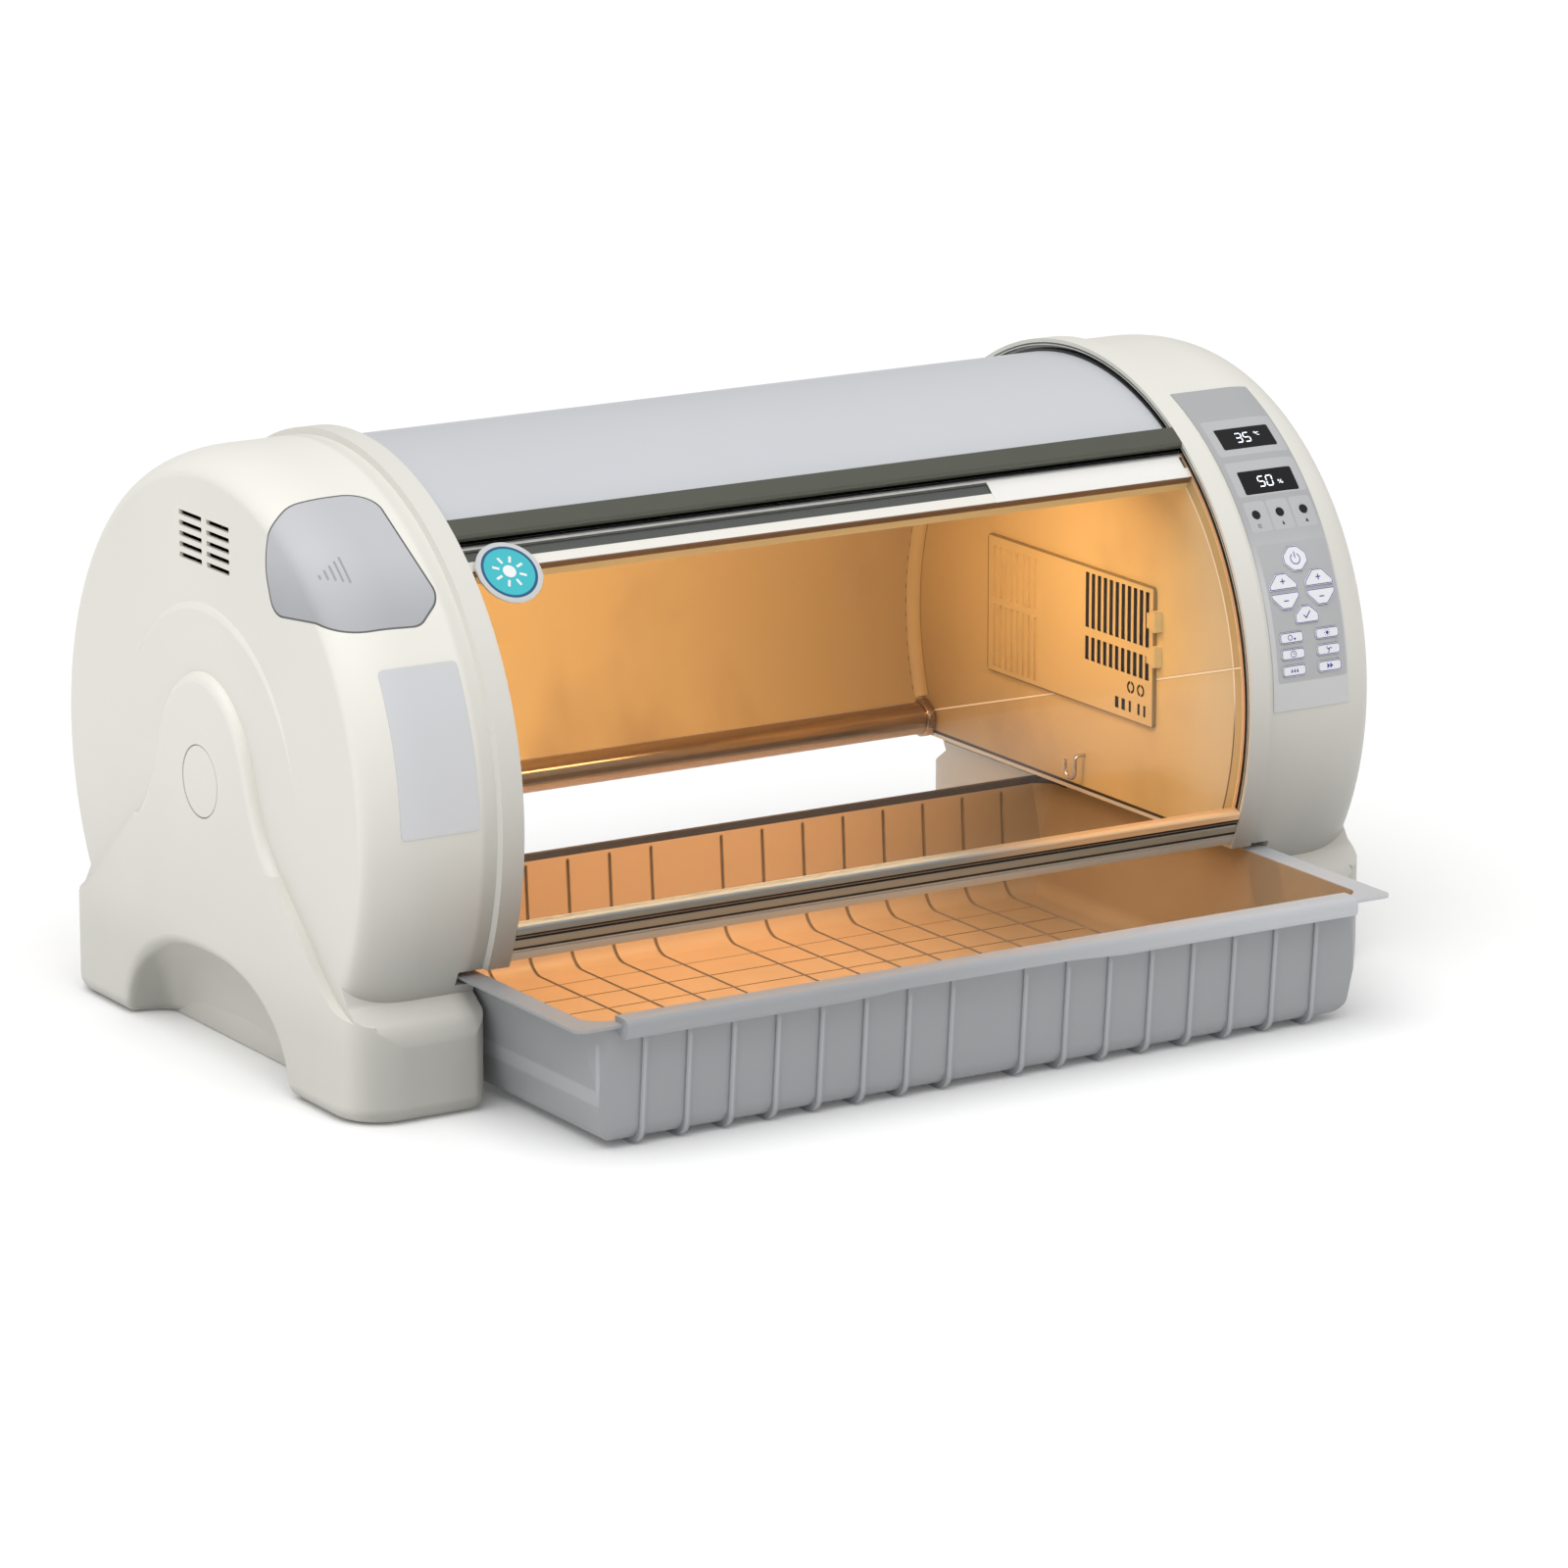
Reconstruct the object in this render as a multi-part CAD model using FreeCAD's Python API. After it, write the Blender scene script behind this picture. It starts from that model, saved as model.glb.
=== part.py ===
import FreeCAD, Part

import math
import os

from FreeCAD import Vector

# A pet brooder: a lying drum between two end housings, a clear door that slides round
# the drum, and a ribbed tray that draws out below it. Millimetres. X runs along the drum,
# the front faces -Y, Z is up, and z = 0 is the surface that the brooder stands on.
# Angles about the drum axis start at the front horizontal and grow upwards over the roof.

# Drum and end housings
AXIS_HEIGHT = 210.0
CABIN_LENGTH = 636.0
RIM_X = CABIN_LENGTH / 2
DRUM_RADIUS = 250.0
RIM_WIDTH = 18.0
RIM_STEP = 5.0
HOUSING_WIDTH = 124.0
FACE_X = RIM_X + HOUSING_WIDTH
CORNER_LENGTH = 50.0
CORNER_DEPTH = 20.0
HOUSING_WALL = 3.0

# Raised bell on the outer faces, which runs down into the feet
RELIEF_HEIGHT = 8.0
BELL_TOP = 292.0
BELL_HALF_WIDTH = 74.0
SHOULDER_HEIGHT = 84.0
RIDGE_RADIUS = 133.0
RIDGE_HEIGHT = 2.5
RIDGE_EDGE = 9.0
RIDGE_FADE_HEIGHT = 10.0
HUB_CAP_RADIUS = 27.0
HUB_CAP_THICKNESS = 5.0

# Feet
FOOT_REACH = 235.0
FOOT_CORNER = 40.0
FOOT_INNER_CORNER = 13.0
FOOT_INNER_X = RIM_X + 22.0
FOOT_BOTTOM_ROUND = 12.0
SHOULDER_DROP = 16.0
SHOULDER_ROUND = 20.0
SHOULDER_LENGTH = 26.0
SHOULDER_BEND = 10.0
HOUSING_BOTTOM = 1.0
ARCH_HALF_WIDTH = FOOT_REACH - 107.0
ARCH_NARROWING = 22.0
ARCH_HEIGHT = 78.0
ARCH_DEPTH = 38.0
ARCH_LOW_RISE = 4.0
ARCH_RIM_ROUND = 8.0
PAD_RADIUS = 14.0
PAD_THICKNESS = 6.0
PAD_Y = FOOT_REACH - 40.0
PAD_X = RIM_X + 77.0

# Groove that the tray's flange slides in
GROOVE_BOTTOM = 92.0
GROOVE_TOP = 103.0
GROOVE_DEPTH = 17.0
RUNNER_THICKNESS = 4.2
SLIDE_GAP = 0.3

# Roof, a double curved shell
ROOF_RADIUS = 240.0
ROOF_SKIN = 2.5
ROOF_DEPTH = 15.5
ROOF_FRONT_ANGLE = 51.5
ROOF_BACK_ANGLE = 201.0
FRONT_BAR_ANGLE = 46.0
REAR_RAIL_RADIUS = 13.0
REAR_RAIL_BORE = 11.0

# Clear door and its curved tracks
DOOR_RADIUS = 242.0
DOOR_SHEET = 2.5
DOOR_BOTTOM_ANGLE = -17.6
DOOR_TOP_ANGLE = 54.0
DOOR_TRAVEL = 72.0
HANDLE_ANGLES = (52.0, 56.4)
BOTTOM_BAR_ANGLE = -19.8
SILL_ANGLE = -24.9
SILL_WALL = 2.5
SILL_GROOVE_ANGLES = (-22.9, -22.5)
TRACK_WALL = 4.0
TRACK_DEPTH = 8.0
DOOR_END_INSET = 4.0
BAR_END_GAP = 0.5
BAR_CLASP = 0.9

# End panels of the cabin
PANEL_THICKNESS = 3.0
PANEL_FLANGE = 10.0

# Tray
TRAY_REST_OUT = 150.0
TRAY_HALF_LENGTH = RIM_X + 19.0
TRAY_FRONT = -374.0
TRAY_BACK = 56.5
TRAY_FLANGE = 17.0
TRAY_BACK_FLANGE = 1.5
TRAY_WALL = 2.2
TRAY_SIDE_DRAFT = 16.0
TRAY_FRONT_DRAFT = 8.0
TRAY_BACK_DRAFT = 7.0
TRAY_FLOOR = 5.0
TRAY_FRONT_RADIUS = 12.0
TRAY_BACK_RADIUS = 17.0
TRAY_SIDE_RADIUS = 14.0
TRAY_CORNER_RADIUS = 22.0
RIBS_PER_SIDE = 8
RIB_FIRST = 31.8
RIB_END_GAP = 44.8
RIB_PITCH = (TRAY_HALF_LENGTH - RIB_END_GAP - RIB_FIRST) / (RIBS_PER_SIDE - 1)
RIB_WIDTH = 5.0
RIB_HEIGHT = 1.5
RIB_BELOW_FLOOR = 4.5
RIB_GROOVE = 2.0
RIB_GROOVE_DEPTH = 1.0
FLOOR_LINE_FIRST = -31.0
FLOOR_LINE_PITCH = 37.5
FLOOR_LINE_COUNT = 8
FLOOR_LINE_WIDTH = 1.0
FLOOR_LINE_DEPTH = 0.5
LIP_HALF_LENGTH = RIM_X - 1.0
LIP_FRONT_PROUD = 17.0
LIP_HEIGHT = 15.0
LIP_RISE = 4.3
GRIP_X = (-118.0, 93.0)
GRIP_SLOPE = 27.0
GRIP_RELIEF = 4.0
GRIP_BEND = 300.0

# Access cover on the left housing, without a hinge, held by its rim
COVER_THICKNESS = 3.0
COVER_GAP = 0.4
COVER_LEDGE = 6.0
COVER_SEAT_DEPTH = 3.3
COVER_LEDGE_THICKNESS = 2.2
COVER_DIRECTION = Vector(-0.60, -0.52, 0.61)

# Vent slots on the outer faces
VENT_ROWS = 5
VENT_PITCH = 8.0
VENT_LENGTH = 35.5
VENT_SLOT = 4.0
VENT_TOP = 405.0
VENT_COLUMNS = (23.0, -20.0)

# Control panel on the right housing
OVERLAY_THICKNESS = 0.8
OVERLAY_X = (RIM_X + 24.0, RIM_X + 95.0)
OVERLAY_ANGLES = (0.3, 65.6)
DISPLAY_SIZE = (49.0, 20.0)
DISPLAY_X = RIM_X + 61.0
DISPLAY_ANGLES = (52.4, 42.6)
DISPLAY_DEPTH = 12.0
LED_RADIUS = 3.4
LED_X = (RIM_X + 38.0, RIM_X + 60.0, RIM_X + 82.0)
LED_ANGLE = 36.2
KEY_MIDDLE_X = RIM_X + 60.0
KEY_COLUMN = 16.5
KEY_SPLIT = 1.2
KEY_TRAVEL = 0.6
KEY_GAP = 0.35
KEY_PROUD = 0.9
KEY_FLANGE = 1.1
KEY_FLANGE_THICKNESS = 1.0
SMALL_KEY = (22.0, 8.6)
KEY_MAT_GAP = 0.25
KEY_MAT_THICKNESS = 2.0
KEY_MAT_BORDER = 2.0
KEY_MAT_X = (RIM_X + 26.0, RIM_X + 93.0)
KEY_MAT_ANGLES = (3.0, 31.5)
BOARD_THICKNESS = 1.6
BOARD_X = (RIM_X + 20.0, RIM_X + 100.0)
BOARD_POST_RADIUS = 2.5
BOARD_POST_INSET = 3.0
KEY_BOARD = (17.0, 28.0, 229.0)
DISPLAY_BOARD = (45.5, 58.0, 226.0)

# Mains inlet and switch on the back of the right housing
INLET_X = RIM_X + 50.0
INLET_Z = 178.0
INLET_HALF = (24.0, 13.5)
INLET_DEPTH = 32.0
INLET_PROUD = 2.0
INLET_WELL_HALF = 12.0
INLET_WELL_DEPTH = 20.0
SWITCH_Z = 216.0
SWITCH_HALF = (14.0, 11.0)
SWITCH_DEPTH = 26.0
SWITCH_PROUD = 1.5
SWITCH_WALL = 3.0
ROCKER_SIDE_GAP = 0.6
ROCKER_END_GAP = 1.8
ROCKER_TILT = 9.0
ROCKER_AXIS_DEPTH = 5.0
ROCKER_PIN_RADIUS = 2.0
ROCKER_PIN_LENGTH = 1.5

# Labels
PLATE_GAP = 0.05
LABEL_THICKNESS = 0.6
LABEL_X = (RIM_X + 34.0, RIM_X + 97.0)
LABEL_ANGLES = (1.0, 30.0)
LABEL_CORNER = 4.0
STRIP_X = (RIM_X - 178.0, RIM_X - 3.0)
STRIP_ANGLES = (46.2, 50.9)
BADGE_RADIUS = 26.0
BADGE_X = 32.0 - RIM_X
BADGE_ANGLE = 44.6
BADGE_THICKNESS = 1.6

# Grille, filter, fan and heater behind the right end panel
GRILLE_Y = (-122.0, 112.0)
GRILLE_Z = (176.0, 288.0)
GRILLE_THICKNESS = 3.0
GRILLE_BORDER = 6.0
SLOT_COUNT = 11
SLOT_START = -116.0
SLOT_PITCH = 8.3
SLOT_WIDTH = 5.2
SLOT_HEIGHTS = ((239.0, 283.0), (213.0, 232.0))
LOUVRE_COUNT = 8
LOUVRE_START = 41.0
LOUVRE_WIDTH = 4.4
LOUVRE_DEPTH = 1.6
LOUVRE_HEIGHTS = ((238.0, 279.0), (181.0, 232.0))
GAUGE_PORTS = (-105.0, -91.4)
GAUGE_PORT_Z = 203.0
SMALL_PORTS = ((-112.0, 3.0), (-104.0, 3.0), (-92.0, 3.0), (-84.0, 5.0), (-75.0, 5.0))
SMALL_PORT_Z = (183.0, 192.0)
CLIP_HEIGHTS = (262.2, 234.3)
HOOK_Y = -17.0
HOOK_Z = 122.0
HOOK_WIRE = 1.6
HOOK_RADIUS = 7.0
HOOK_REACH = 9.0
DUCT_WALL = 2.0
DUCT_DEPTH = 46.0
FAN_SIZE = 92.0
FAN_DEPTH = 25.0
FAN_BORE_RADIUS = 43.0
FAN_HUB_RADIUS = 17.0
FAN_BLADES = 7
SHAFT_RADIUS = 2.5
SHAFT_CLEARANCE = 0.05
FAN_CENTRE_Y = -62.0
FAN_CENTRE_Z = 232.0
HEATER_FINS = 12

# Humidifier behind the left end panel
BOTTLE_RADIUS = 36.0
BOTTLE_HEIGHT = 118.0
BOTTLE_X = RIM_X + 66.0
BOTTLE_Y = -112.0
CRADLE_HEIGHT = 246.0

# Cabin lamp
LAMP_HALF_LENGTH = RIM_X - 68.0
LAMP_RADIUS = 8.0
LAMP_ANGLE = 62.0
LAMP_DROP = 16.0

# Worked out from the sizes above
BODY_RADIUS = DRUM_RADIUS - RIM_STEP
LINER_RADIUS = ROOF_RADIUS - ROOF_DEPTH
RUNNER_TOP = GROOVE_BOTTOM + RUNNER_THICKNESS
FLANGE_BOTTOM = RUNNER_TOP + SLIDE_GAP
FLANGE_TOP = FLANGE_BOTTOM + TRAY_WALL
TRAY_HALF_OUTER = TRAY_HALF_LENGTH + TRAY_FLANGE
GROOVE_X = FOOT_INNER_X + GROOVE_DEPTH
TRAY_CLOSED_BACK = TRAY_BACK + TRAY_WALL + TRAY_BACK_FLANGE + TRAY_REST_OUT
PANEL_RADIUS = DOOR_RADIUS - SLIDE_GAP - TRACK_WALL
CORNER_START = FACE_X - CORNER_LENGTH
CORNER_RADIUS = BODY_RADIUS - CORNER_DEPTH
BACK_Y = BODY_RADIUS


def at(angle, radius, x=0.0):
    """The point at an angle and a radius about the drum axis."""
    turn = math.radians(angle)
    return Vector(x, -radius * math.cos(turn), AXIS_HEIGHT + radius * math.sin(turn))


def outward(angle):
    """The direction straight away from the drum axis at an angle."""
    turn = math.radians(angle)
    return Vector(0, -math.cos(turn), math.sin(turn))


def tangent(angle):
    """The direction up round the drum at an angle."""
    turn = math.radians(angle)
    return Vector(0, math.sin(turn), math.cos(turn))


def box(x, y, z):
    """A block between two values on each axis."""
    return Part.makeBox(x[1] - x[0], y[1] - y[0], z[1] - z[0], Vector(x[0], y[0], z[0]))


def mirrored(shape):
    """The same piece for the left end."""
    return shape.mirror(Vector(0, 0, 0), Vector(1, 0, 0))


def band(inner, outer, start, end, x0, x1):
    """A curved slab round the drum axis between two radii and two angles."""
    middle = (start + end) / 2
    edges = [
        Part.Arc(at(start, outer, x0), at(middle, outer, x0), at(end, outer, x0)).toShape(),
        Part.makeLine(at(end, outer, x0), at(end, inner, x0)),
        Part.Arc(at(end, inner, x0), at(middle, inner, x0), at(start, inner, x0)).toShape(),
        Part.makeLine(at(start, inner, x0), at(start, outer, x0)),
    ]
    return Part.Face(Part.Wire(edges)).extrude(Vector(x1 - x0, 0, 0))


def rounded_wire(corners):
    """A closed flat outline through corners given as a point and its rounding radius."""
    count = len(corners)
    trimmed = []
    for index in range(count):
        point, radius = corners[index]
        before = corners[index - 1][0] - point
        after = corners[(index + 1) % count][0] - point
        before.normalize()
        after.normalize()
        if radius <= 0:
            trimmed.append((point, None, point))
            continue
        half = before.getAngle(after) / 2
        reach = radius / math.tan(half)
        inward = before + after
        inward.normalize()
        crest = point + inward * (radius / math.sin(half) - radius)
        trimmed.append((point + before * reach, crest, point + after * reach))
    edges = []
    for index in range(count):
        first, crest, last = trimmed[index]
        if crest is not None:
            edges.append(Part.Arc(first, crest, last).toShape())
        following = trimmed[(index + 1) % count][0]
        if last.distanceToPoint(following) > 0.001:
            edges.append(Part.makeLine(last, following))
    return Part.Wire(edges)


def prism(corners, direction):
    """A rounded outline pushed along a direction."""
    return Part.Face(rounded_wire(corners)).extrude(direction)


def side_outline(points, x):
    """Corners in a plane across the drum, from (y, z, rounding) values."""
    return [(Vector(x, y, z), radius) for y, z, radius in points]


def radial_prism(points, x, angle, inner, outer):
    """A prism that stands straight out of the drum, from (x, along, rounding) values."""
    base = at(angle, inner, x)
    up = tangent(angle)
    corners = [(base + Vector(along, 0, 0) + up * rise, radius) for along, rise, radius in points]
    return prism(corners, outward(angle) * (outer - inner))


def radial_cylinder(radius, x, angle, inner, outer):
    """A round pin that stands straight out of the drum."""
    return Part.makeCylinder(radius, outer - inner, at(angle, inner, x), outward(angle))


def drum_solid(inset):
    """The drum of the right housing as one full body, with its skin moved in by inset."""
    rim = DRUM_RADIUS - inset
    body = BODY_RADIUS - inset
    face = FACE_X - inset
    step_x = RIM_X + RIM_WIDTH - inset
    points = [
        Vector(RIM_X, 0, AXIS_HEIGHT),
        Vector(RIM_X, 0, AXIS_HEIGHT + rim),
        Vector(step_x, 0, AXIS_HEIGHT + rim),
        Vector(step_x + 1.5, 0, AXIS_HEIGHT + body),
        Vector(CORNER_START, 0, AXIS_HEIGHT + body),
        Vector(face, 0, AXIS_HEIGHT + CORNER_RADIUS),
        Vector(face, 0, AXIS_HEIGHT),
    ]
    centre = Vector(CORNER_START, 0, AXIS_HEIGHT + CORNER_RADIUS)
    ellipse = Part.Ellipse(points[5], points[4], centre)
    corner = Part.ArcOfEllipse(ellipse, 0, math.pi / 2).toShape()
    edges = [Part.makeLine(points[i], points[i + 1]) for i in range(4)]
    edges += [corner, Part.makeLine(points[5], points[6]), Part.makeLine(points[6], points[0])]
    wire = Part.Wire(Part.__sortEdges__(edges))
    return Part.Face(wire).revolve(Vector(0, 0, AXIS_HEIGHT), Vector(1, 0, 0), 360)


def skin_radius(x, inset):
    """The drum's radius at x, with its skin moved in by inset."""
    share = max(0.0, x - CORNER_START) / (CORNER_LENGTH - inset)
    return CORNER_RADIUS + (CORNER_DEPTH - inset) * math.sqrt(1 - share ** 2)


def foot_outline(inset):
    """Both feet seen from the side, as one outline from front to back."""
    reach = FOOT_REACH - inset
    top = SHOULDER_HEIGHT - inset
    half = [
        (reach, HOUSING_BOTTOM + inset, 0.0),
        (reach, top - SHOULDER_DROP, SHOULDER_ROUND),
        (reach - SHOULDER_LENGTH, top + 2, SHOULDER_BEND),
        (reach - 3 * SHOULDER_LENGTH, top + 3 * SHOULDER_LENGTH, 0.0),
    ]
    front = [(-y, z, radius) for y, z, radius in half]
    return front + half[::-1]


def foot_block(outer_x, inset):
    """A tall block over the feet's plan, with round corners and a round lower edge."""
    reach = FOOT_REACH - inset
    outer_corner = FOOT_CORNER - inset
    inner_corner = FOOT_INNER_CORNER - inset
    inner = FOOT_INNER_X + inset
    corners = [
        (Vector(inner, -reach, HOUSING_BOTTOM + inset), inner_corner),
        (Vector(outer_x, -reach, HOUSING_BOTTOM + inset), outer_corner),
        (Vector(outer_x, reach, HOUSING_BOTTOM + inset), outer_corner),
        (Vector(inner, reach, HOUSING_BOTTOM + inset), inner_corner),
    ]
    block = prism(corners, Vector(0, 0, BELL_TOP + 20))
    low_edges = []
    for edge in block.Edges:
        bounds = edge.BoundBox
        if bounds.ZMax < HOUSING_BOTTOM + inset + 0.1 and bounds.XMax > FOOT_INNER_X + FOOT_INNER_CORNER + 2:
            low_edges.append(edge)
    return block.makeFillet(FOOT_BOTTOM_ROUND - inset, low_edges)


def bell_face(x):
    """The raised bell and legs of an outer face as a flat face."""
    leg_end = SHOULDER_HEIGHT - 10
    half = [
        Vector(x, -FOOT_REACH, leg_end),
        Vector(x, 45 - FOOT_REACH, SHOULDER_HEIGHT + 6),
        Vector(x, -150, 126),
        Vector(x, -116, 156),
        Vector(x, -90, 186),
        Vector(x, -BELL_HALF_WIDTH, 222),
        Vector(x, -54, 264),
        Vector(x, 0, BELL_TOP),
    ]
    other = [Vector(x, -point.y, point.z) for point in half[-2::-1]]
    crown = Part.BSplineCurve()
    crown.interpolate(half + other)
    low = HOUSING_BOTTOM
    edges = [
        crown.toShape(),
        Part.makeLine(Vector(x, FOOT_REACH, leg_end), Vector(x, FOOT_REACH, low)),
        Part.makeLine(Vector(x, FOOT_REACH, low), Vector(x, -FOOT_REACH, low)),
        Part.makeLine(Vector(x, -FOOT_REACH, low), Vector(x, -FOOT_REACH, leg_end)),
    ]
    return Part.Face(Part.Wire(edges))


def ridge_solid():
    """The low second step over the bell, which fades out towards the drum's middle."""
    back = FACE_X - 2.0
    crest = FACE_X + RIDGE_HEIGHT
    top = AXIS_HEIGHT + RIDGE_RADIUS
    edges = [
        Part.makeLine(Vector(back, 0, AXIS_HEIGHT), Vector(back, 0, top)),
        Part.makeLine(Vector(back, 0, top), Vector(FACE_X, 0, top)),
        Part.Arc(
            Vector(FACE_X, 0, top),
            Vector(FACE_X + RIDGE_HEIGHT * 0.72, 0, top - RIDGE_EDGE * 0.4),
            Vector(crest, 0, top - RIDGE_EDGE),
        ).toShape(),
        Part.makeLine(Vector(crest, 0, top - RIDGE_EDGE), Vector(crest, 0, AXIS_HEIGHT)),
        Part.makeLine(Vector(crest, 0, AXIS_HEIGHT), Vector(back, 0, AXIS_HEIGHT)),
    ]
    plate = Part.Face(Part.Wire(edges)).revolve(Vector(0, 0, AXIS_HEIGHT), Vector(1, 0, 0), 360)
    wedge = [
        (Vector(back, -RIDGE_RADIUS - 1, AXIS_HEIGHT), 0.0),
        (Vector(FACE_X - 1, -RIDGE_RADIUS - 1, AXIS_HEIGHT), 0.0),
        (Vector(FACE_X, -RIDGE_RADIUS - 1, AXIS_HEIGHT + RIDGE_FADE_HEIGHT), 0.0),
        (Vector(crest, -RIDGE_RADIUS - 1, top + 1), 0.0),
        (Vector(back, -RIDGE_RADIUS - 1, top + 1), 0.0),
    ]
    return plate.common(prism(wedge, Vector(0, 2 * RIDGE_RADIUS + 2, 0)))


def is_arc_at(edge, x):
    """Whether an edge is curved and lies in the plane at x."""
    bounds = edge.BoundBox
    flat = abs(bounds.XMin - x) < 0.01 and abs(bounds.XMax - x) < 0.01
    return flat and edge.Curve.TypeId != "Part::GeomLine"


def arch_outline(x, half, rise):
    """A low round arch across the outer face, closed below the housing's bottom."""
    base = HOUSING_BOTTOM - 2
    points = [
        Vector(x, -half, base),
        Vector(x, -half * 0.90, HOUSING_BOTTOM + rise * 0.45),
        Vector(x, -half * 0.52, HOUSING_BOTTOM + rise * 0.88),
        Vector(x, 0, HOUSING_BOTTOM + rise),
        Vector(x, half * 0.52, HOUSING_BOTTOM + rise * 0.88),
        Vector(x, half * 0.90, HOUSING_BOTTOM + rise * 0.45),
        Vector(x, half, base),
    ]
    curve = Part.BSplineCurve()
    curve.interpolate(points)
    return Part.Wire([curve.toShape(), Part.makeLine(points[-1], points[0])])


def arch_solid():
    """The scoop between the two feet, which curves from a high outer edge to a low inner one."""
    face = FACE_X + RELIEF_HEIGHT
    wires = []
    for turn in (0, 25, 45, 62, 78):
        share = math.cos(math.radians(turn))
        depth = math.sin(math.radians(turn))
        half = ARCH_HALF_WIDTH - ARCH_NARROWING * (1 - share)
        rise = ARCH_HEIGHT * share + ARCH_LOW_RISE * depth
        wires.append(arch_outline(face - ARCH_DEPTH * depth, half, rise))
    mouth = Part.Face(wires[0]).extrude(Vector(6, 0, 0))
    return mouth.fuse(Part.makeLoft(wires, True, False)).removeSplitter()


def housing_outside():
    """The outside form of the right housing as one solid."""
    face = FACE_X + RELIEF_HEIGHT
    above = box((RIM_X - 1, FACE_X + 20), (-300, 300), (SHOULDER_HEIGHT - 2, 500))
    drum = drum_solid(0.0).common(above)
    block = foot_block(face, 0.0)
    feet = Part.Face(rounded_wire(side_outline(foot_outline(0.0), FOOT_INNER_X)))
    feet = feet.extrude(Vector(face - FOOT_INNER_X, 0, 0)).common(block)
    bell = bell_face(FACE_X - 12).extrude(Vector(12 + RELIEF_HEIGHT, 0, 0))
    rim_edges = [edge for edge in bell.Edges if is_arc_at(edge, face)]
    bell = bell.makeFillet(RELIEF_HEIGHT - 0.5, rim_edges)
    bell = bell.common(block.fuse(drum_keep()))
    keep = box((0, FACE_X), (-300, 300), (0, 500)).fuse(bell_face(FACE_X - 1).extrude(Vector(20, 0, 0)))
    solid = drum.fuse([feet.common(keep), bell, ridge_solid()]).removeSplitter()
    solid = solid.cut(arch_solid())
    flat_low = HOUSING_BOTTOM + FOOT_BOTTOM_ROUND + 2
    arch_rim = []
    for edge in solid.Edges:
        bounds = edge.BoundBox
        if is_arc_at(edge, face) and bounds.ZMin < flat_low and bounds.YLength > ARCH_HALF_WIDTH:
            arch_rim.append(edge)
    return solid.makeFillet(ARCH_RIM_ROUND, arch_rim)


def drum_keep():
    """The stretch of the outer face above the feet."""
    half = FOOT_REACH - FOOT_CORNER
    return box((0, FACE_X + 30), (-half, half), (SHOULDER_HEIGHT, 500))


def housing_hollow():
    """The space inside the right housing, open towards the cabin."""
    ceiling = GROOVE_TOP + HOUSING_WALL
    upper = box((RIM_X - 2, FACE_X), (-300, 300), (ceiling, 500))
    lower_x = GROOVE_X + HOUSING_WALL
    half = FOOT_REACH - 30
    lower = box((lower_x, FACE_X), (-half, half), (ARCH_HEIGHT + 12, ceiling + 1))
    open_end = Part.makeCylinder(
        DRUM_RADIUS - HOUSING_WALL, 4, Vector(RIM_X - 2, 0, AXIS_HEIGHT), Vector(1, 0, 0)
    )
    drum = drum_solid(HOUSING_WALL).fuse(open_end)
    space = drum.common(upper.fuse(lower))
    feet = Part.Face(rounded_wire(side_outline(foot_outline(HOUSING_WALL), FOOT_INNER_X)))
    feet = feet.extrude(Vector(FACE_X - FOOT_INNER_X, 0, 0))
    feet = feet.common(foot_block(FACE_X + RELIEF_HEIGHT - HOUSING_WALL, HOUSING_WALL))
    inner_low = GROOVE_BOTTOM - HOUSING_WALL
    end_x = FACE_X - HOUSING_WALL
    for side in (-1, 1):
        span = sorted((side * (ARCH_HALF_WIDTH + HOUSING_WALL + 3), side * FOOT_REACH))
        zone = box((FOOT_INNER_X, end_x), span, (0, inner_low))
        outer_zone = box((lower_x, end_x), span, (inner_low - 1, ceiling))
        space = space.fuse(feet.common(zone.fuse(outer_zone)))
    return space


def tray_clearance():
    """The room that the tray and its flange need in the right housing."""
    below = box((RIM_X - 5, FOOT_INNER_X), (-320, 320), (-10, GROOVE_TOP))
    groove = box((RIM_X, GROOVE_X), (-320, TRAY_CLOSED_BACK + 2), (GROOVE_BOTTOM, GROOVE_TOP))
    return below.fuse(groove)


def vent_slots():
    """Two columns of slots through the outer face."""
    slots = []
    for column in VENT_COLUMNS:
        for row in range(VENT_ROWS):
            half = VENT_LENGTH / 2
            tall = VENT_SLOT / 2
            points = [(-half, -tall, 1.0), (half, -tall, 1.0), (half, tall, 1.0), (-half, tall, 1.0)]
            slot = prism(side_outline(points, FACE_X - 8), Vector(16, 0, 0))
            slot.translate(Vector(0, column, VENT_TOP - row * VENT_PITCH))
            slots.append(slot)
    return slots[0].fuse(slots[1:])


def pad_pockets(depth, gap):
    """Round pockets or pads under the two feet of the right housing."""
    solids = []
    for side in (-1, 1):
        centre = Vector(PAD_X, side * PAD_Y, 0)
        solids.append(Part.makeCylinder(PAD_RADIUS + gap, depth, centre))
    return solids


def hub_recess(gap):
    """The shallow round seat of the hub cap."""
    start = Vector(FACE_X + RELIEF_HEIGHT - HUB_CAP_THICKNESS, 0, AXIS_HEIGHT)
    return Part.makeCylinder(HUB_CAP_RADIUS + gap, HUB_CAP_THICKNESS + 5, start, Vector(1, 0, 0))


def housing_shell():
    """The moulded shell that both housings share, for the right end."""
    solid = housing_outside()
    solid = solid.cut(housing_hollow())
    solid = solid.cut(tray_clearance())
    for pocket in pad_pockets(PAD_THICKNESS, 0.2):
        solid = solid.cut(pocket)
    solid = solid.cut(vent_slots())
    return solid.cut(hub_recess(0.25))


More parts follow.
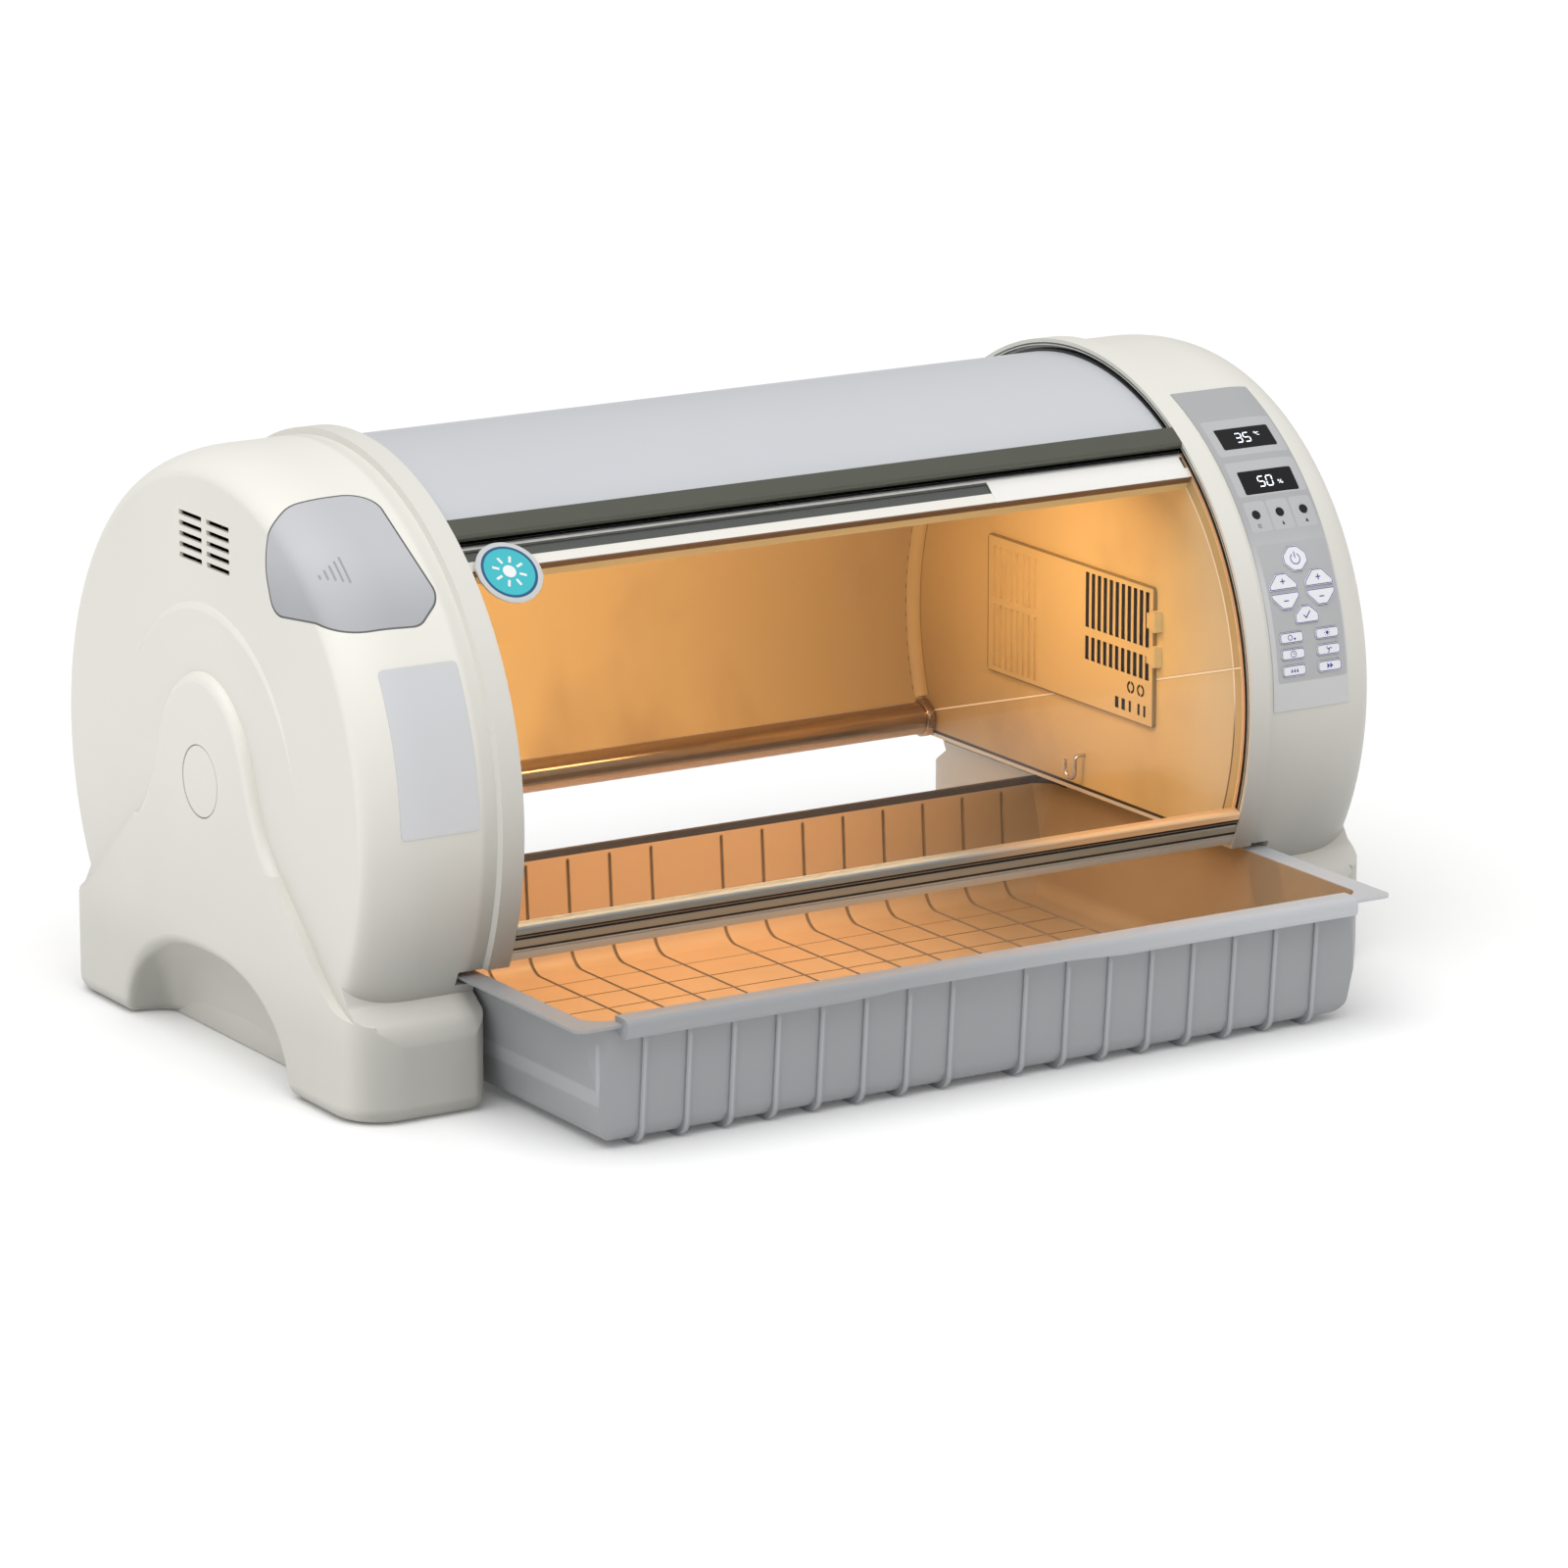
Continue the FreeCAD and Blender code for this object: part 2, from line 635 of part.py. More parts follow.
def cover_prism(grow):
    """A prism with the access cover's outline, seen square to the housing's corner."""
    axis = Vector(COVER_DIRECTION)
    axis.normalize()
    side = Vector(0, 0, 1).cross(axis)
    side.normalize()
    rise = axis.cross(side)
    centre = Vector(-RIM_X - 87, -150, 400)
    outline = [
        (109, -98, 436, 22.0),
        (39, -97, 436, 24.0),
        (31, -184, 373, 22.0),
        (54, -197, 357, 12.0),
        (118, -194, 359, 40.0),
        (124, -105, 355, 26.0),
        (124, -92, 392, 40.0),
    ]
    flat = []
    for along, y, z, radius in outline:
        offset = Vector(-RIM_X - along, y, z) - centre
        flat.append([offset.dot(side), offset.dot(rise), radius])
    middle_s = sum(item[0] for item in flat) / len(flat)
    middle_r = sum(item[1] for item in flat) / len(flat)
    corners = []
    for s, r, radius in flat:
        away = math.hypot(s - middle_s, r - middle_r)
        scale = (away + grow * 1.2) / away
        s = middle_s + (s - middle_s) * scale
        r = middle_r + (r - middle_r) * scale
        corners.append((centre + side * s + rise * r - axis * 70, radius + grow * 0.5))
    return prism(corners, axis * 140)


def skin(depth_from, depth_to):
    """The left drum's skin between two depths, as a thin shell."""
    return mirrored(drum_solid(depth_from).cut(drum_solid(depth_to)))


def left_housing(shell):
    """The left shell with the covered opening to the water bottle."""
    housing = mirrored(shell)
    seat = cover_prism(COVER_GAP)
    ledge = skin(HOUSING_WALL - 0.5, COVER_SEAT_DEPTH + COVER_LEDGE_THICKNESS)
    ledge = ledge.common(cover_prism(3.0)).cut(cover_prism(-COVER_LEDGE))
    housing = housing.cut(seat).fuse(ledge)
    pocket = skin(-1.0, COVER_SEAT_DEPTH).common(seat)
    return housing.cut(pocket).removeSplitter()


def access_cover():
    """The lift-off cover that wraps the left housing's front upper corner."""
    return skin(0.0, COVER_THICKNESS).common(cover_prism(0.0))


def panel_region(outset, depth):
    """The stretch of the right drum's skin that the control overlay covers."""
    span = band(BODY_RADIUS - 15, DRUM_RADIUS + 10, *OVERLAY_ANGLES, *OVERLAY_X)
    return drum_solid(-outset).cut(drum_solid(depth)).common(span)


def key_outlines():
    """Each key's name, place and outline on the control panel."""
    half_x, half_y = SMALL_KEY[0] / 2, SMALL_KEY[1] / 2
    small = [(-half_x, -half_y, 3.0), (half_x, -half_y, 3.0), (half_x, half_y, 3.0), (-half_x, half_y, 3.0)]
    upper = [(-13, KEY_SPLIT, 0.6), (13, KEY_SPLIT, 0.6), (13, 5, 1.5),
             (4.5, 14, 3.0), (-4.5, 14, 3.0), (-13, 5, 1.5)]
    lower = [(x, -y, radius) for x, y, radius in upper[::-1]]
    power = [(-11, -3.5, 3.0), (-4, -10, 3.0), (4, -10, 3.0), (11, -3.5, 3.0),
             (11, 3.5, 3.0), (4, 10, 3.0), (-4, 10, 3.0), (-11, 3.5, 3.0)]
    setting = [(-11, -6, 2.5), (11, -6, 2.5), (11, 1, 3.0), (3.5, 7.5, 3.0), (-3.5, 7.5, 3.0), (-11, 1, 3.0)]
    left_x = KEY_MIDDLE_X - KEY_COLUMN
    right_x = KEY_MIDDLE_X + KEY_COLUMN
    keys = {
        "power_key": (KEY_MIDDLE_X, 27.2, power),
        "temperature_up_key": (left_x, 21.6, upper),
        "temperature_down_key": (left_x, 21.6, lower),
        "humidity_up_key": (right_x, 21.6, upper),
        "humidity_down_key": (right_x, 21.6, lower),
        "set_key": (KEY_MIDDLE_X, 16.9, setting),
    }
    names = ("oxygen_key", "lamp_key", "timer_key", "fan_key", "nebuliser_key", "pump_key")
    for index, name in enumerate(names):
        column = (left_x, right_x)[index % 2]
        row = index // 2
        keys[name] = (column, 13.3 - 2.95 * row, small)
    return keys


def grown(points, gap):
    """An outline moved outwards from its middle by about a gap."""
    middle_x = sum(point[0] for point in points) / len(points)
    middle_y = sum(point[1] for point in points) / len(points)
    half_x = max(abs(point[0] - middle_x) for point in points)
    half_y = max(abs(point[1] - middle_y) for point in points)
    scale_x = (half_x + gap) / half_x
    scale_y = (half_y + gap) / half_y
    result = []
    for x, y, radius in points:
        result.append((middle_x + (x - middle_x) * scale_x, middle_y + (y - middle_y) * scale_y, radius))
    return result


def flange_top(x, outline):
    """The height of a key's flat flange, clear of the curved wall above it."""
    half_x = max(abs(point[0]) for point in outline) + KEY_FLANGE
    half_y = max(abs(point[1]) for point in outline) + KEY_FLANGE
    wall = skin_radius(x + half_x, HOUSING_WALL) - SLIDE_GAP
    return math.sqrt(wall ** 2 - half_y ** 2)


def key_solid(x, angle, outline):
    """A key cap with a flange under the housing wall that keeps it in."""
    top = flange_top(x, outline)
    cap = radial_prism(outline, x, angle, top - 0.5, BODY_RADIUS + OVERLAY_THICKNESS + KEY_PROUD)
    flange = radial_prism(grown(outline, KEY_FLANGE), x, angle, top - KEY_FLANGE_THICKNESS, top)
    return cap.fuse(flange).removeSplitter()


def display_outline():
    """The outline of a display window."""
    x, y = DISPLAY_SIZE[0] / 2, DISPLAY_SIZE[1] / 2
    return [(-x, -y, 1.5), (x, -y, 1.5), (x, y, 1.5), (-x, y, 1.5)]


def panel_openings(gap):
    """Every hole that the control panel's pieces need."""
    inner = BODY_RADIUS - HOUSING_WALL - 12
    outer = DRUM_RADIUS + 8
    holes = []
    for x, angle, outline in key_outlines().values():
        holes.append(radial_prism(grown(outline, gap), x, angle, inner, outer))
    for angle in DISPLAY_ANGLES:
        holes.append(radial_prism(grown(display_outline(), gap), DISPLAY_X, angle, inner, outer))
    for x in LED_X:
        holes.append(radial_cylinder(LED_RADIUS + gap, x, LED_ANGLE, inner, outer))
    return holes


def right_housing(shell):
    """The right shell with the panel's openings, board posts and the mains cut-outs."""
    housing = shell.fuse(board_posts())
    for hole in panel_openings(KEY_GAP):
        housing = housing.cut(hole)
    for cutout in (inlet_body(0.2), switch_body(0.2)):
        housing = housing.cut(cutout)
    return housing


def control_overlay():
    """The curved front plate of the control panel."""
    plate = panel_region(OVERLAY_THICKNESS, -PLATE_GAP)
    for hole in panel_openings(KEY_GAP):
        plate = plate.cut(hole)
    return plate


def key_mat():
    """The rubber mat that springs the keys back, with a raised border against the wall."""
    lowest = min(flange_top(x, outline) for x, angle, outline in key_outlines().values())
    top = lowest - KEY_FLANGE_THICKNESS - KEY_TRAVEL - KEY_MAT_GAP
    x0, x1 = KEY_MAT_X
    low, high = KEY_MAT_ANGLES
    mat = band(top - KEY_MAT_THICKNESS, BODY_RADIUS, low, high, x0, x1)
    turn = math.degrees(KEY_MAT_BORDER / BODY_RADIUS)
    well = band(top, DRUM_RADIUS, low + turn, high - turn, x0 + KEY_MAT_BORDER, x1 - KEY_MAT_BORDER)
    return mat.common(drum_solid(HOUSING_WALL + 0.1)).cut(well)


def display_module(angle):
    """A display behind its window, with its lens level with the overlay."""
    outer = BODY_RADIUS + OVERLAY_THICKNESS
    return radial_prism(display_outline(), DISPLAY_X, angle, outer - DISPLAY_DEPTH, outer)


def indicator_lamps():
    """The three small round indicator lamps."""
    outer = BODY_RADIUS + OVERLAY_THICKNESS + 0.4
    return [radial_cylinder(LED_RADIUS, x, LED_ANGLE, outer - 9, outer) for x in LED_X]


def control_board():
    """The two circuit boards behind the keys and behind the displays."""
    boards = []
    middle = sum(BOARD_X) / 2
    wide = (BOARD_X[1] - BOARD_X[0]) / 2
    for angle, tall, radius in (KEY_BOARD, DISPLAY_BOARD):
        points = [(-wide, -tall, 2.0), (wide, -tall, 2.0), (wide, tall, 2.0), (-wide, tall, 2.0)]
        boards.append(radial_prism(points, middle, angle, radius, radius + BOARD_THICKNESS))
    return boards


def board_posts():
    """The posts that carry the boards' corners from the housing's wall."""
    posts = []
    inside_wall = drum_solid(1.0)
    for angle, tall, radius in (KEY_BOARD, DISPLAY_BOARD):
        for rise in (BOARD_POST_INSET - tall, tall - BOARD_POST_INSET):
            for x in (BOARD_X[0] + BOARD_POST_INSET, BOARD_X[1] - BOARD_POST_INSET):
                foot = at(angle, radius + BOARD_THICKNESS, x) + tangent(angle) * rise
                post = Part.makeCylinder(BOARD_POST_RADIUS, 20, foot, outward(angle))
                posts.append(post.common(inside_wall))
    return posts


def flat_on_back(x, z, points, y):
    """Corners in a plane across the back, from (x, z, rounding) values about a middle."""
    return [(Vector(x + along, y, z + rise), radius) for along, rise, radius in points]


def inlet_body(gap):
    """The mains inlet's block in the back of the right housing."""
    wide, tall = INLET_HALF[0] + gap, INLET_HALF[1] + gap
    points = [(-wide, -tall, 2.0), (wide, -tall, 2.0), (wide, tall, 2.0), (-wide, tall, 2.0)]
    outline = flat_on_back(INLET_X, INLET_Z, points, BACK_Y - INLET_DEPTH)
    return prism(outline, Vector(0, INLET_DEPTH + INLET_PROUD, 0))


def switch_body(gap):
    """The block of the mains switch above the inlet."""
    wide, tall = SWITCH_HALF[0] + gap, SWITCH_HALF[1] + gap
    points = [(-wide, -tall, 1.5), (wide, -tall, 1.5), (wide, tall, 1.5), (-wide, tall, 1.5)]
    outline = flat_on_back(INLET_X, SWITCH_Z, points, BACK_Y - SWITCH_DEPTH)
    return prism(outline, Vector(0, SWITCH_DEPTH + SWITCH_PROUD, 0))


def mains_inlet():
    """A three-pin appliance inlet with its well and blades."""
    half = INLET_WELL_HALF
    points = [(-half, -8, 2.0), (half, -8, 2.0), (half, 4, 4.0), (6, 9, 2.0), (-6, 9, 2.0), (-half, 4, 4.0)]
    well = flat_on_back(INLET_X, INLET_Z, points, BACK_Y + INLET_PROUD - INLET_WELL_DEPTH)
    body = inlet_body(0.0).cut(prism(well, Vector(0, INLET_WELL_DEPTH + 1, 0)))
    for along, rise in ((-7, -2.5), (0, 2.5), (7, -2.5)):
        x, z = INLET_X + along, INLET_Z + rise
        body = body.fuse(box((x - 1, x + 1), (BACK_Y - INLET_WELL_DEPTH, BACK_Y - 2), (z - 2, z + 2)))
    return body


def mains_switch_frame():
    """The switch's frame with a well for its rocker and a bore for the rocker's pin."""
    wide, tall = SWITCH_HALF[0] - SWITCH_WALL, SWITCH_HALF[1] - SWITCH_WALL
    span_x = (INLET_X - wide, INLET_X + wide)
    span_z = (SWITCH_Z - tall, SWITCH_Z + tall)
    frame = switch_body(0.0).cut(box(span_x, (BACK_Y - 18, BACK_Y + 5), span_z))
    return frame.cut(rocker_pin(SHAFT_CLEARANCE, 0.3))


def rocker_pin(gap, end_gap):
    """The pin on the rocker's axis, which reaches into the frame on both sides."""
    half = SWITCH_HALF[1] - SWITCH_WALL + ROCKER_PIN_LENGTH + end_gap
    start = Vector(INLET_X, BACK_Y - ROCKER_AXIS_DEPTH, SWITCH_Z - half)
    return Part.makeCylinder(ROCKER_PIN_RADIUS + gap, 2 * half, start)


def mains_switch_rocker():
    """The rocker, which tips about its middle, with the on side pressed in."""
    wide = SWITCH_HALF[0] - SWITCH_WALL - ROCKER_END_GAP
    tall = SWITCH_HALF[1] - SWITCH_WALL - ROCKER_SIDE_GAP
    rise = wide * math.tan(math.radians(ROCKER_TILT))
    face = BACK_Y + SWITCH_PROUD
    low = BACK_Y - 12
    points = [
        (Vector(-wide, face + rise, 0), 1.0),
        (Vector(0, face, 0), 0.0),
        (Vector(wide, face - rise * 0.2, 0), 1.0),
        (Vector(wide * 0.6, low, 0), 1.0),
        (Vector(-wide * 0.6, low, 0), 1.0),
    ]
    place = Vector(INLET_X, 0, SWITCH_Z - tall)
    body = prism([(place + point, radius) for point, radius in points], Vector(0, 0, 2 * tall))
    return body.fuse(rocker_pin(0.0, 0.0)).removeSplitter()


def hub_cap():
    """The round cap over the middle of an outer face."""
    start = Vector(FACE_X + RELIEF_HEIGHT - HUB_CAP_THICKNESS, 0, AXIS_HEIGHT)
    cap = Part.makeCylinder(HUB_CAP_RADIUS, HUB_CAP_THICKNESS, start, Vector(1, 0, 0))
    rim = [edge for edge in cap.Edges if is_arc_at(edge, FACE_X + RELIEF_HEIGHT)]
    return cap.makeFillet(0.8, rim)


def track_ring():
    """The dark curved track round the right rim, with the door's groove."""
    outer = DRUM_RADIUS - HOUSING_WALL
    ring = band(PANEL_RADIUS, outer, SILL_ANGLE, 180 - SILL_ANGLE, RIM_X, RIM_X + TRACK_DEPTH)
    groove_in = DOOR_RADIUS - SLIDE_GAP
    groove_out = DOOR_RADIUS + DOOR_SHEET + SLIDE_GAP
    low = BOTTOM_BAR_ANGLE
    high = HANDLE_ANGLES[1] + DOOR_TRAVEL + 1
    groove = band(groove_in, groove_out, low, high, RIM_X - 1, RIM_X + DOOR_END_INSET + 1)
    return ring.cut(groove)


def end_panel():
    """The cabin's end wall in the right rim, with a flange behind its edge."""
    low = GROOVE_TOP + HOUSING_WALL
    above = box((RIM_X - 1, RIM_X + 60), (-300, 300), (low, 500))
    centre = Vector(RIM_X, 0, AXIS_HEIGHT)
    disc = Part.makeCylinder(PANEL_RADIUS, PANEL_THICKNESS + PANEL_FLANGE, centre, Vector(1, 0, 0))
    back = Vector(RIM_X + PANEL_THICKNESS, 0, AXIS_HEIGHT)
    inside = Part.makeCylinder(PANEL_RADIUS - PANEL_THICKNESS, PANEL_FLANGE + 1, back, Vector(1, 0, 0))
    return disc.cut(inside).common(above)


def right_end_panel():
    """The end wall with the air grille's opening."""
    inset = GRILLE_BORDER
    hole = box(
        (RIM_X - 1, RIM_X + PANEL_THICKNESS + 1),
        (GRILLE_Y[0] + inset, GRILLE_Y[1] - inset),
        (GRILLE_Z[0] + inset, GRILLE_Z[1] - inset),
    )
    return end_panel().cut(hole)


def left_end_panel():
    """The end wall with the mist outlet's opening."""
    hole = Part.makeCylinder(22, 10, Vector(RIM_X - 1, BOTTLE_Y, 330), Vector(1, 0, 0))
    return mirrored(end_panel().cut(hole))


def mist_outlet():
    """A round outlet guard with three bars on the left end panel."""
    x = -RIM_X
    ring = Part.makeCylinder(28, 3, Vector(x, BOTTLE_Y, 330), Vector(1, 0, 0))
    for level in (-11.0, 0.0, 11.0):
        half = math.sqrt(20.0 ** 2 - level ** 2)
        slot = box((x - 1, x + 4), (BOTTLE_Y - half, BOTTLE_Y + half), (330 + level - 3.5, 330 + level + 3.5))
        ring = ring.cut(slot)
    return ring


def air_grille():
    """The moulded grille: open slots in front, louvres behind, small ports below."""
    x = RIM_X - GRILLE_THICKNESS
    y0, y1 = GRILLE_Y
    z0, z1 = GRILLE_Z
    corners = side_outline([(y0, z0, 4), (y1, z0, 4), (y1, z1, 4), (y0, z1, 4)], x)
    plate = prism(corners, Vector(GRILLE_THICKNESS, 0, 0))
    cuts = []
    for index in range(SLOT_COUNT):
        y = SLOT_START + index * SLOT_PITCH
        for low, high in SLOT_HEIGHTS:
            cuts.append(box((x - 1, RIM_X + 1), (y, y + SLOT_WIDTH), (low, high)))
    for y in GAUGE_PORTS:
        ring = Part.makeCylinder(5.0, 6, Vector(x - 1, y, GAUGE_PORT_Z), Vector(1, 0, 0))
        core = Part.makeCylinder(3.0, 6, Vector(x - 1, y, GAUGE_PORT_Z), Vector(1, 0, 0))
        bridge = box((x, RIM_X), (y - 0.6, y + 0.6), (GAUGE_PORT_Z - 6, GAUGE_PORT_Z + 6))
        cuts.append(ring.cut(core.fuse(bridge)))
    for y, width in SMALL_PORTS:
        cuts.append(box((x - 1, RIM_X + 1), (y, y + width), SMALL_PORT_Z))
    plate = plate.cut(cuts[0].fuse(cuts[1:]))
    for index in range(LOUVRE_COUNT):
        y = LOUVRE_START + index * SLOT_PITCH
        for low, high in LOUVRE_HEIGHTS:
            plate = plate.cut(box((x - 1, x + LOUVRE_DEPTH), (y, y + LOUVRE_WIDTH), (low, high)))
    return plate


def grille_clips():
    """Two turn clips that hold the grille's front edge."""
    clips = []
    for z in CLIP_HEIGHTS:
        clip = box((RIM_X - 7, RIM_X), (GRILLE_Y[0] - 7, GRILLE_Y[0] - 0.2), (z - 8, z + 8))
        nose = box((RIM_X - 7, RIM_X - GRILLE_THICKNESS), (GRILLE_Y[0] - 1, GRILLE_Y[0] + 4), (z - 6, z + 6))
        clips.append(clip.fuse(nose))
    return clips


def filter_pad():
    """The air filter behind the open slots."""
    x = RIM_X + PANEL_THICKNESS
    return box((RIM_X + 0.2, x + 3), (GRILLE_Y[0] + 7, -22), (GRILLE_Z[0] + 7, GRILLE_Z[1] - 7))


def air_duct():
    """The duct box behind the right end panel that holds fan, filter and heater."""
    x = RIM_X + PANEL_THICKNESS
    outer = box((x, x + DUCT_DEPTH), (GRILLE_Y[0] - 2, GRILLE_Y[1] + 2), (GRILLE_Z[0] - 2, GRILLE_Z[1] + 2))
    wall = DUCT_WALL
    inner = box(
        (x - 1, x + DUCT_DEPTH - wall),
        (GRILLE_Y[0] - 2 + wall, GRILLE_Y[1] + 2 - wall),
        (GRILLE_Z[0] - 2 + wall, GRILLE_Z[1] + 2 - wall),
    )
    back = Vector(x + DUCT_DEPTH - wall - 1, FAN_CENTRE_Y, FAN_CENTRE_Z)
    intake = Part.makeCylinder(FAN_BORE_RADIUS, wall + 2, back, Vector(1, 0, 0))
    return outer.cut(inner).cut(intake)


def fan_place():
    """Where the fan's frame starts, with its back on the duct's back wall."""
    x = RIM_X + PANEL_THICKNESS + DUCT_DEPTH - DUCT_WALL - FAN_DEPTH
    return Vector(x, FAN_CENTRE_Y, FAN_CENTRE_Z)


def fan_frame():
    """The square frame of the axial fan with its motor held on three struts."""
    start = fan_place()
    half = FAN_SIZE / 2
    points = [(start.y - half, start.z - half, 5), (start.y + half, start.z - half, 5),
              (start.y + half, start.z + half, 5), (start.y - half, start.z + half, 5)]
    frame = prism(side_outline(points, start.x), Vector(FAN_DEPTH, 0, 0))
    bore = Part.makeCylinder(FAN_BORE_RADIUS, FAN_DEPTH - 3, start, Vector(1, 0, 0))
    frame = frame.cut(bore)
    ring = Part.makeCylinder(FAN_BORE_RADIUS, 3, start + Vector(FAN_DEPTH - 3, 0, 0), Vector(1, 0, 0))
    frame = frame.cut(ring)
    motor = Part.makeCylinder(15, 8, start + Vector(FAN_DEPTH - 8, 0, 0), Vector(1, 0, 0))
    shaft_hole = Part.makeCylinder(
        SHAFT_RADIUS + SHAFT_CLEARANCE, 20, start + Vector(FAN_DEPTH - 12, 0, 0), Vector(1, 0, 0)
    )
    for index in range(3):
        strut = box((0, 3), (12, FAN_BORE_RADIUS + 1), (-2.5, 2.5))
        strut.rotate(Vector(0, 0, 0), Vector(1, 0, 0), 120 * index + 30)
        strut.translate(start + Vector(FAN_DEPTH - 3, 0, 0))
        motor = motor.fuse(strut)
    return frame.fuse(motor).cut(shaft_hole).removeSplitter()


def fan_rotor():
    """The fan's hub, shaft and pitched blades."""
    start = fan_place()
    hub = Part.makeCylinder(FAN_HUB_RADIUS, 14, start + Vector(1, 0, 0), Vector(1, 0, 0))
    shaft = Part.makeCylinder(SHAFT_RADIUS, FAN_DEPTH - 1, start + Vector(1, 0, 0), Vector(1, 0, 0))
    rotor = hub.fuse(shaft)
    for index in range(FAN_BLADES):
        blade = box((-6, 6), (FAN_HUB_RADIUS - 2, FAN_BORE_RADIUS - 2), (-0.8, 0.8))
        blade.rotate(Vector(0, 0, 0), Vector(0, 1, 0), 38)
        blade.rotate(Vector(0, 0, 0), Vector(1, 0, 0), 360.0 / FAN_BLADES * index)
        blade.translate(start + Vector(8, 0, 0))
        rotor = rotor.fuse(blade)
    return rotor.removeSplitter()


def heater_element():
    """The finned heater behind the louvres."""
    x = RIM_X + PANEL_THICKNESS + 6
    core = box((x, x + 12), (6, 104), (GRILLE_Z[0], GRILLE_Z[1]))
    for index in range(HEATER_FINS):
        z = GRILLE_Z[0] + 7 + index * 8.2
        core = core.cut(box((x - 1, x + 8), (12, 98), (z, z + 5)))
    return core


def roof_shell():
    """The roof's outer skin with its closed front and back edges."""
    inner_skin = ROOF_RADIUS - ROOF_SKIN
    seat = LINER_RADIUS + ROOF_SKIN
    outer = band(seat, ROOF_RADIUS, ROOF_FRONT_ANGLE, ROOF_BACK_ANGLE, -RIM_X, RIM_X)
    space = band(seat - 1, inner_skin, ROOF_FRONT_ANGLE + 1, ROOF_BACK_ANGLE - 1, -RIM_X - 1, RIM_X + 1)
    return outer.cut(space)


def roof_liner():
    """The cabin's curved ceiling and back wall."""
    return band(LINER_RADIUS, LINER_RADIUS + ROOF_SKIN, ROOF_FRONT_ANGLE, ROOF_BACK_ANGLE, -RIM_X, RIM_X)


def roof_front_bar():
    """The metal bar along the roof's front edge, a hollow profile with a shadow groove."""
    bar = band(LINER_RADIUS, ROOF_RADIUS, FRONT_BAR_ANGLE, ROOF_FRONT_ANGLE, -RIM_X, RIM_X)
    hollow = band(
        LINER_RADIUS + 2, ROOF_RADIUS - 3.2, FRONT_BAR_ANGLE + 0.6, ROOF_FRONT_ANGLE - 0.6, -RIM_X - 1, RIM_X + 1
    )
    groove = band(ROOF_RADIUS - 1.2, ROOF_RADIUS + 1, 48.3, 50.4, -RIM_X - 1, RIM_X + 1)
    return bar.cut(hollow).cut(groove)


def rear_rail_centre():
    """The axis of the round rail under the roof's back edge."""
    gap = REAR_RAIL_RADIUS + SLIDE_GAP
    return at(ROOF_BACK_ANGLE, LINER_RADIUS) + tangent(ROOF_BACK_ANGLE) * gap


def rear_rail():
    """The round rail that ties the housings together at the back."""
    centre = rear_rail_centre()
    start = Vector(-RIM_X, centre.y, centre.z)
    tube = Part.makeCylinder(REAR_RAIL_RADIUS, CABIN_LENGTH, start, Vector(1, 0, 0))
    bore = Part.makeCylinder(REAR_RAIL_BORE, CABIN_LENGTH, start, Vector(1, 0, 0))
    return tube.cut(bore)


def front_sill_rail():
    """The rounded rail below the door, with a groove for the door's lower bar."""
    outer = DRUM_RADIUS - 1.5
    inner = ROOF_RADIUS - 6.0
    rail = band(inner, outer, SILL_ANGLE, BOTTOM_BAR_ANGLE - 0.1, -RIM_X, RIM_X)
    long_edges = [edge for edge in rail.Edges if abs(edge.BoundBox.XLength - CABIN_LENGTH) < 0.1]
    rail = rail.makeFillet(3.5, long_edges)
    hollow = band(
        inner + SILL_WALL, outer - SILL_WALL, SILL_ANGLE + 0.7, BOTTOM_BAR_ANGLE - 0.8, -RIM_X - 1, RIM_X + 1
    )
    groove = band(outer - 1, outer + 1, *SILL_GROOVE_ANGLES, -RIM_X - 1, RIM_X + 1)
    return rail.cut(hollow).cut(groove)


def door_sheet():
    """The curved clear sheet, whose ends run in the tracks."""
    end = RIM_X + DOOR_END_INSET
    return band(DOOR_RADIUS, DOOR_RADIUS + DOOR_SHEET, DOOR_BOTTOM_ANGLE, DOOR_TOP_ANGLE, -end, end)


def door_bar(start, end, rounding):
    """A bar that clasps an edge of the door sheet."""
    half = RIM_X - BAR_END_GAP
    bar = band(DOOR_RADIUS - BAR_CLASP, DRUM_RADIUS - 0.2, start, end, -half, half)
    top_edges = []
    for edge in bar.Edges:
        middle = edge.BoundBox.Center
        reach = math.hypot(middle.y, middle.z - AXIS_HEIGHT)
        if edge.BoundBox.XLength > half and reach > DOOR_RADIUS + 4:
            top_edges.append(edge)
    return bar.makeFillet(rounding, top_edges).cut(door_sheet())


def door_badge():
    """The round plate on the door."""
    angle = BADGE_ANGLE
    outer = DOOR_RADIUS + DOOR_SHEET
    disc = radial_cylinder(BADGE_RADIUS, BADGE_X, angle, outer - 3, outer + BADGE_THICKNESS)
    return disc.common(band(outer, outer + BADGE_THICKNESS, angle - 9, angle + 9, BADGE_X - 40, BADGE_X + 40))


def name_strip():
    """The bare strip at the right of the roof's front bar."""
    return band(ROOF_RADIUS, ROOF_RADIUS + LABEL_THICKNESS, *STRIP_ANGLES, *STRIP_X)


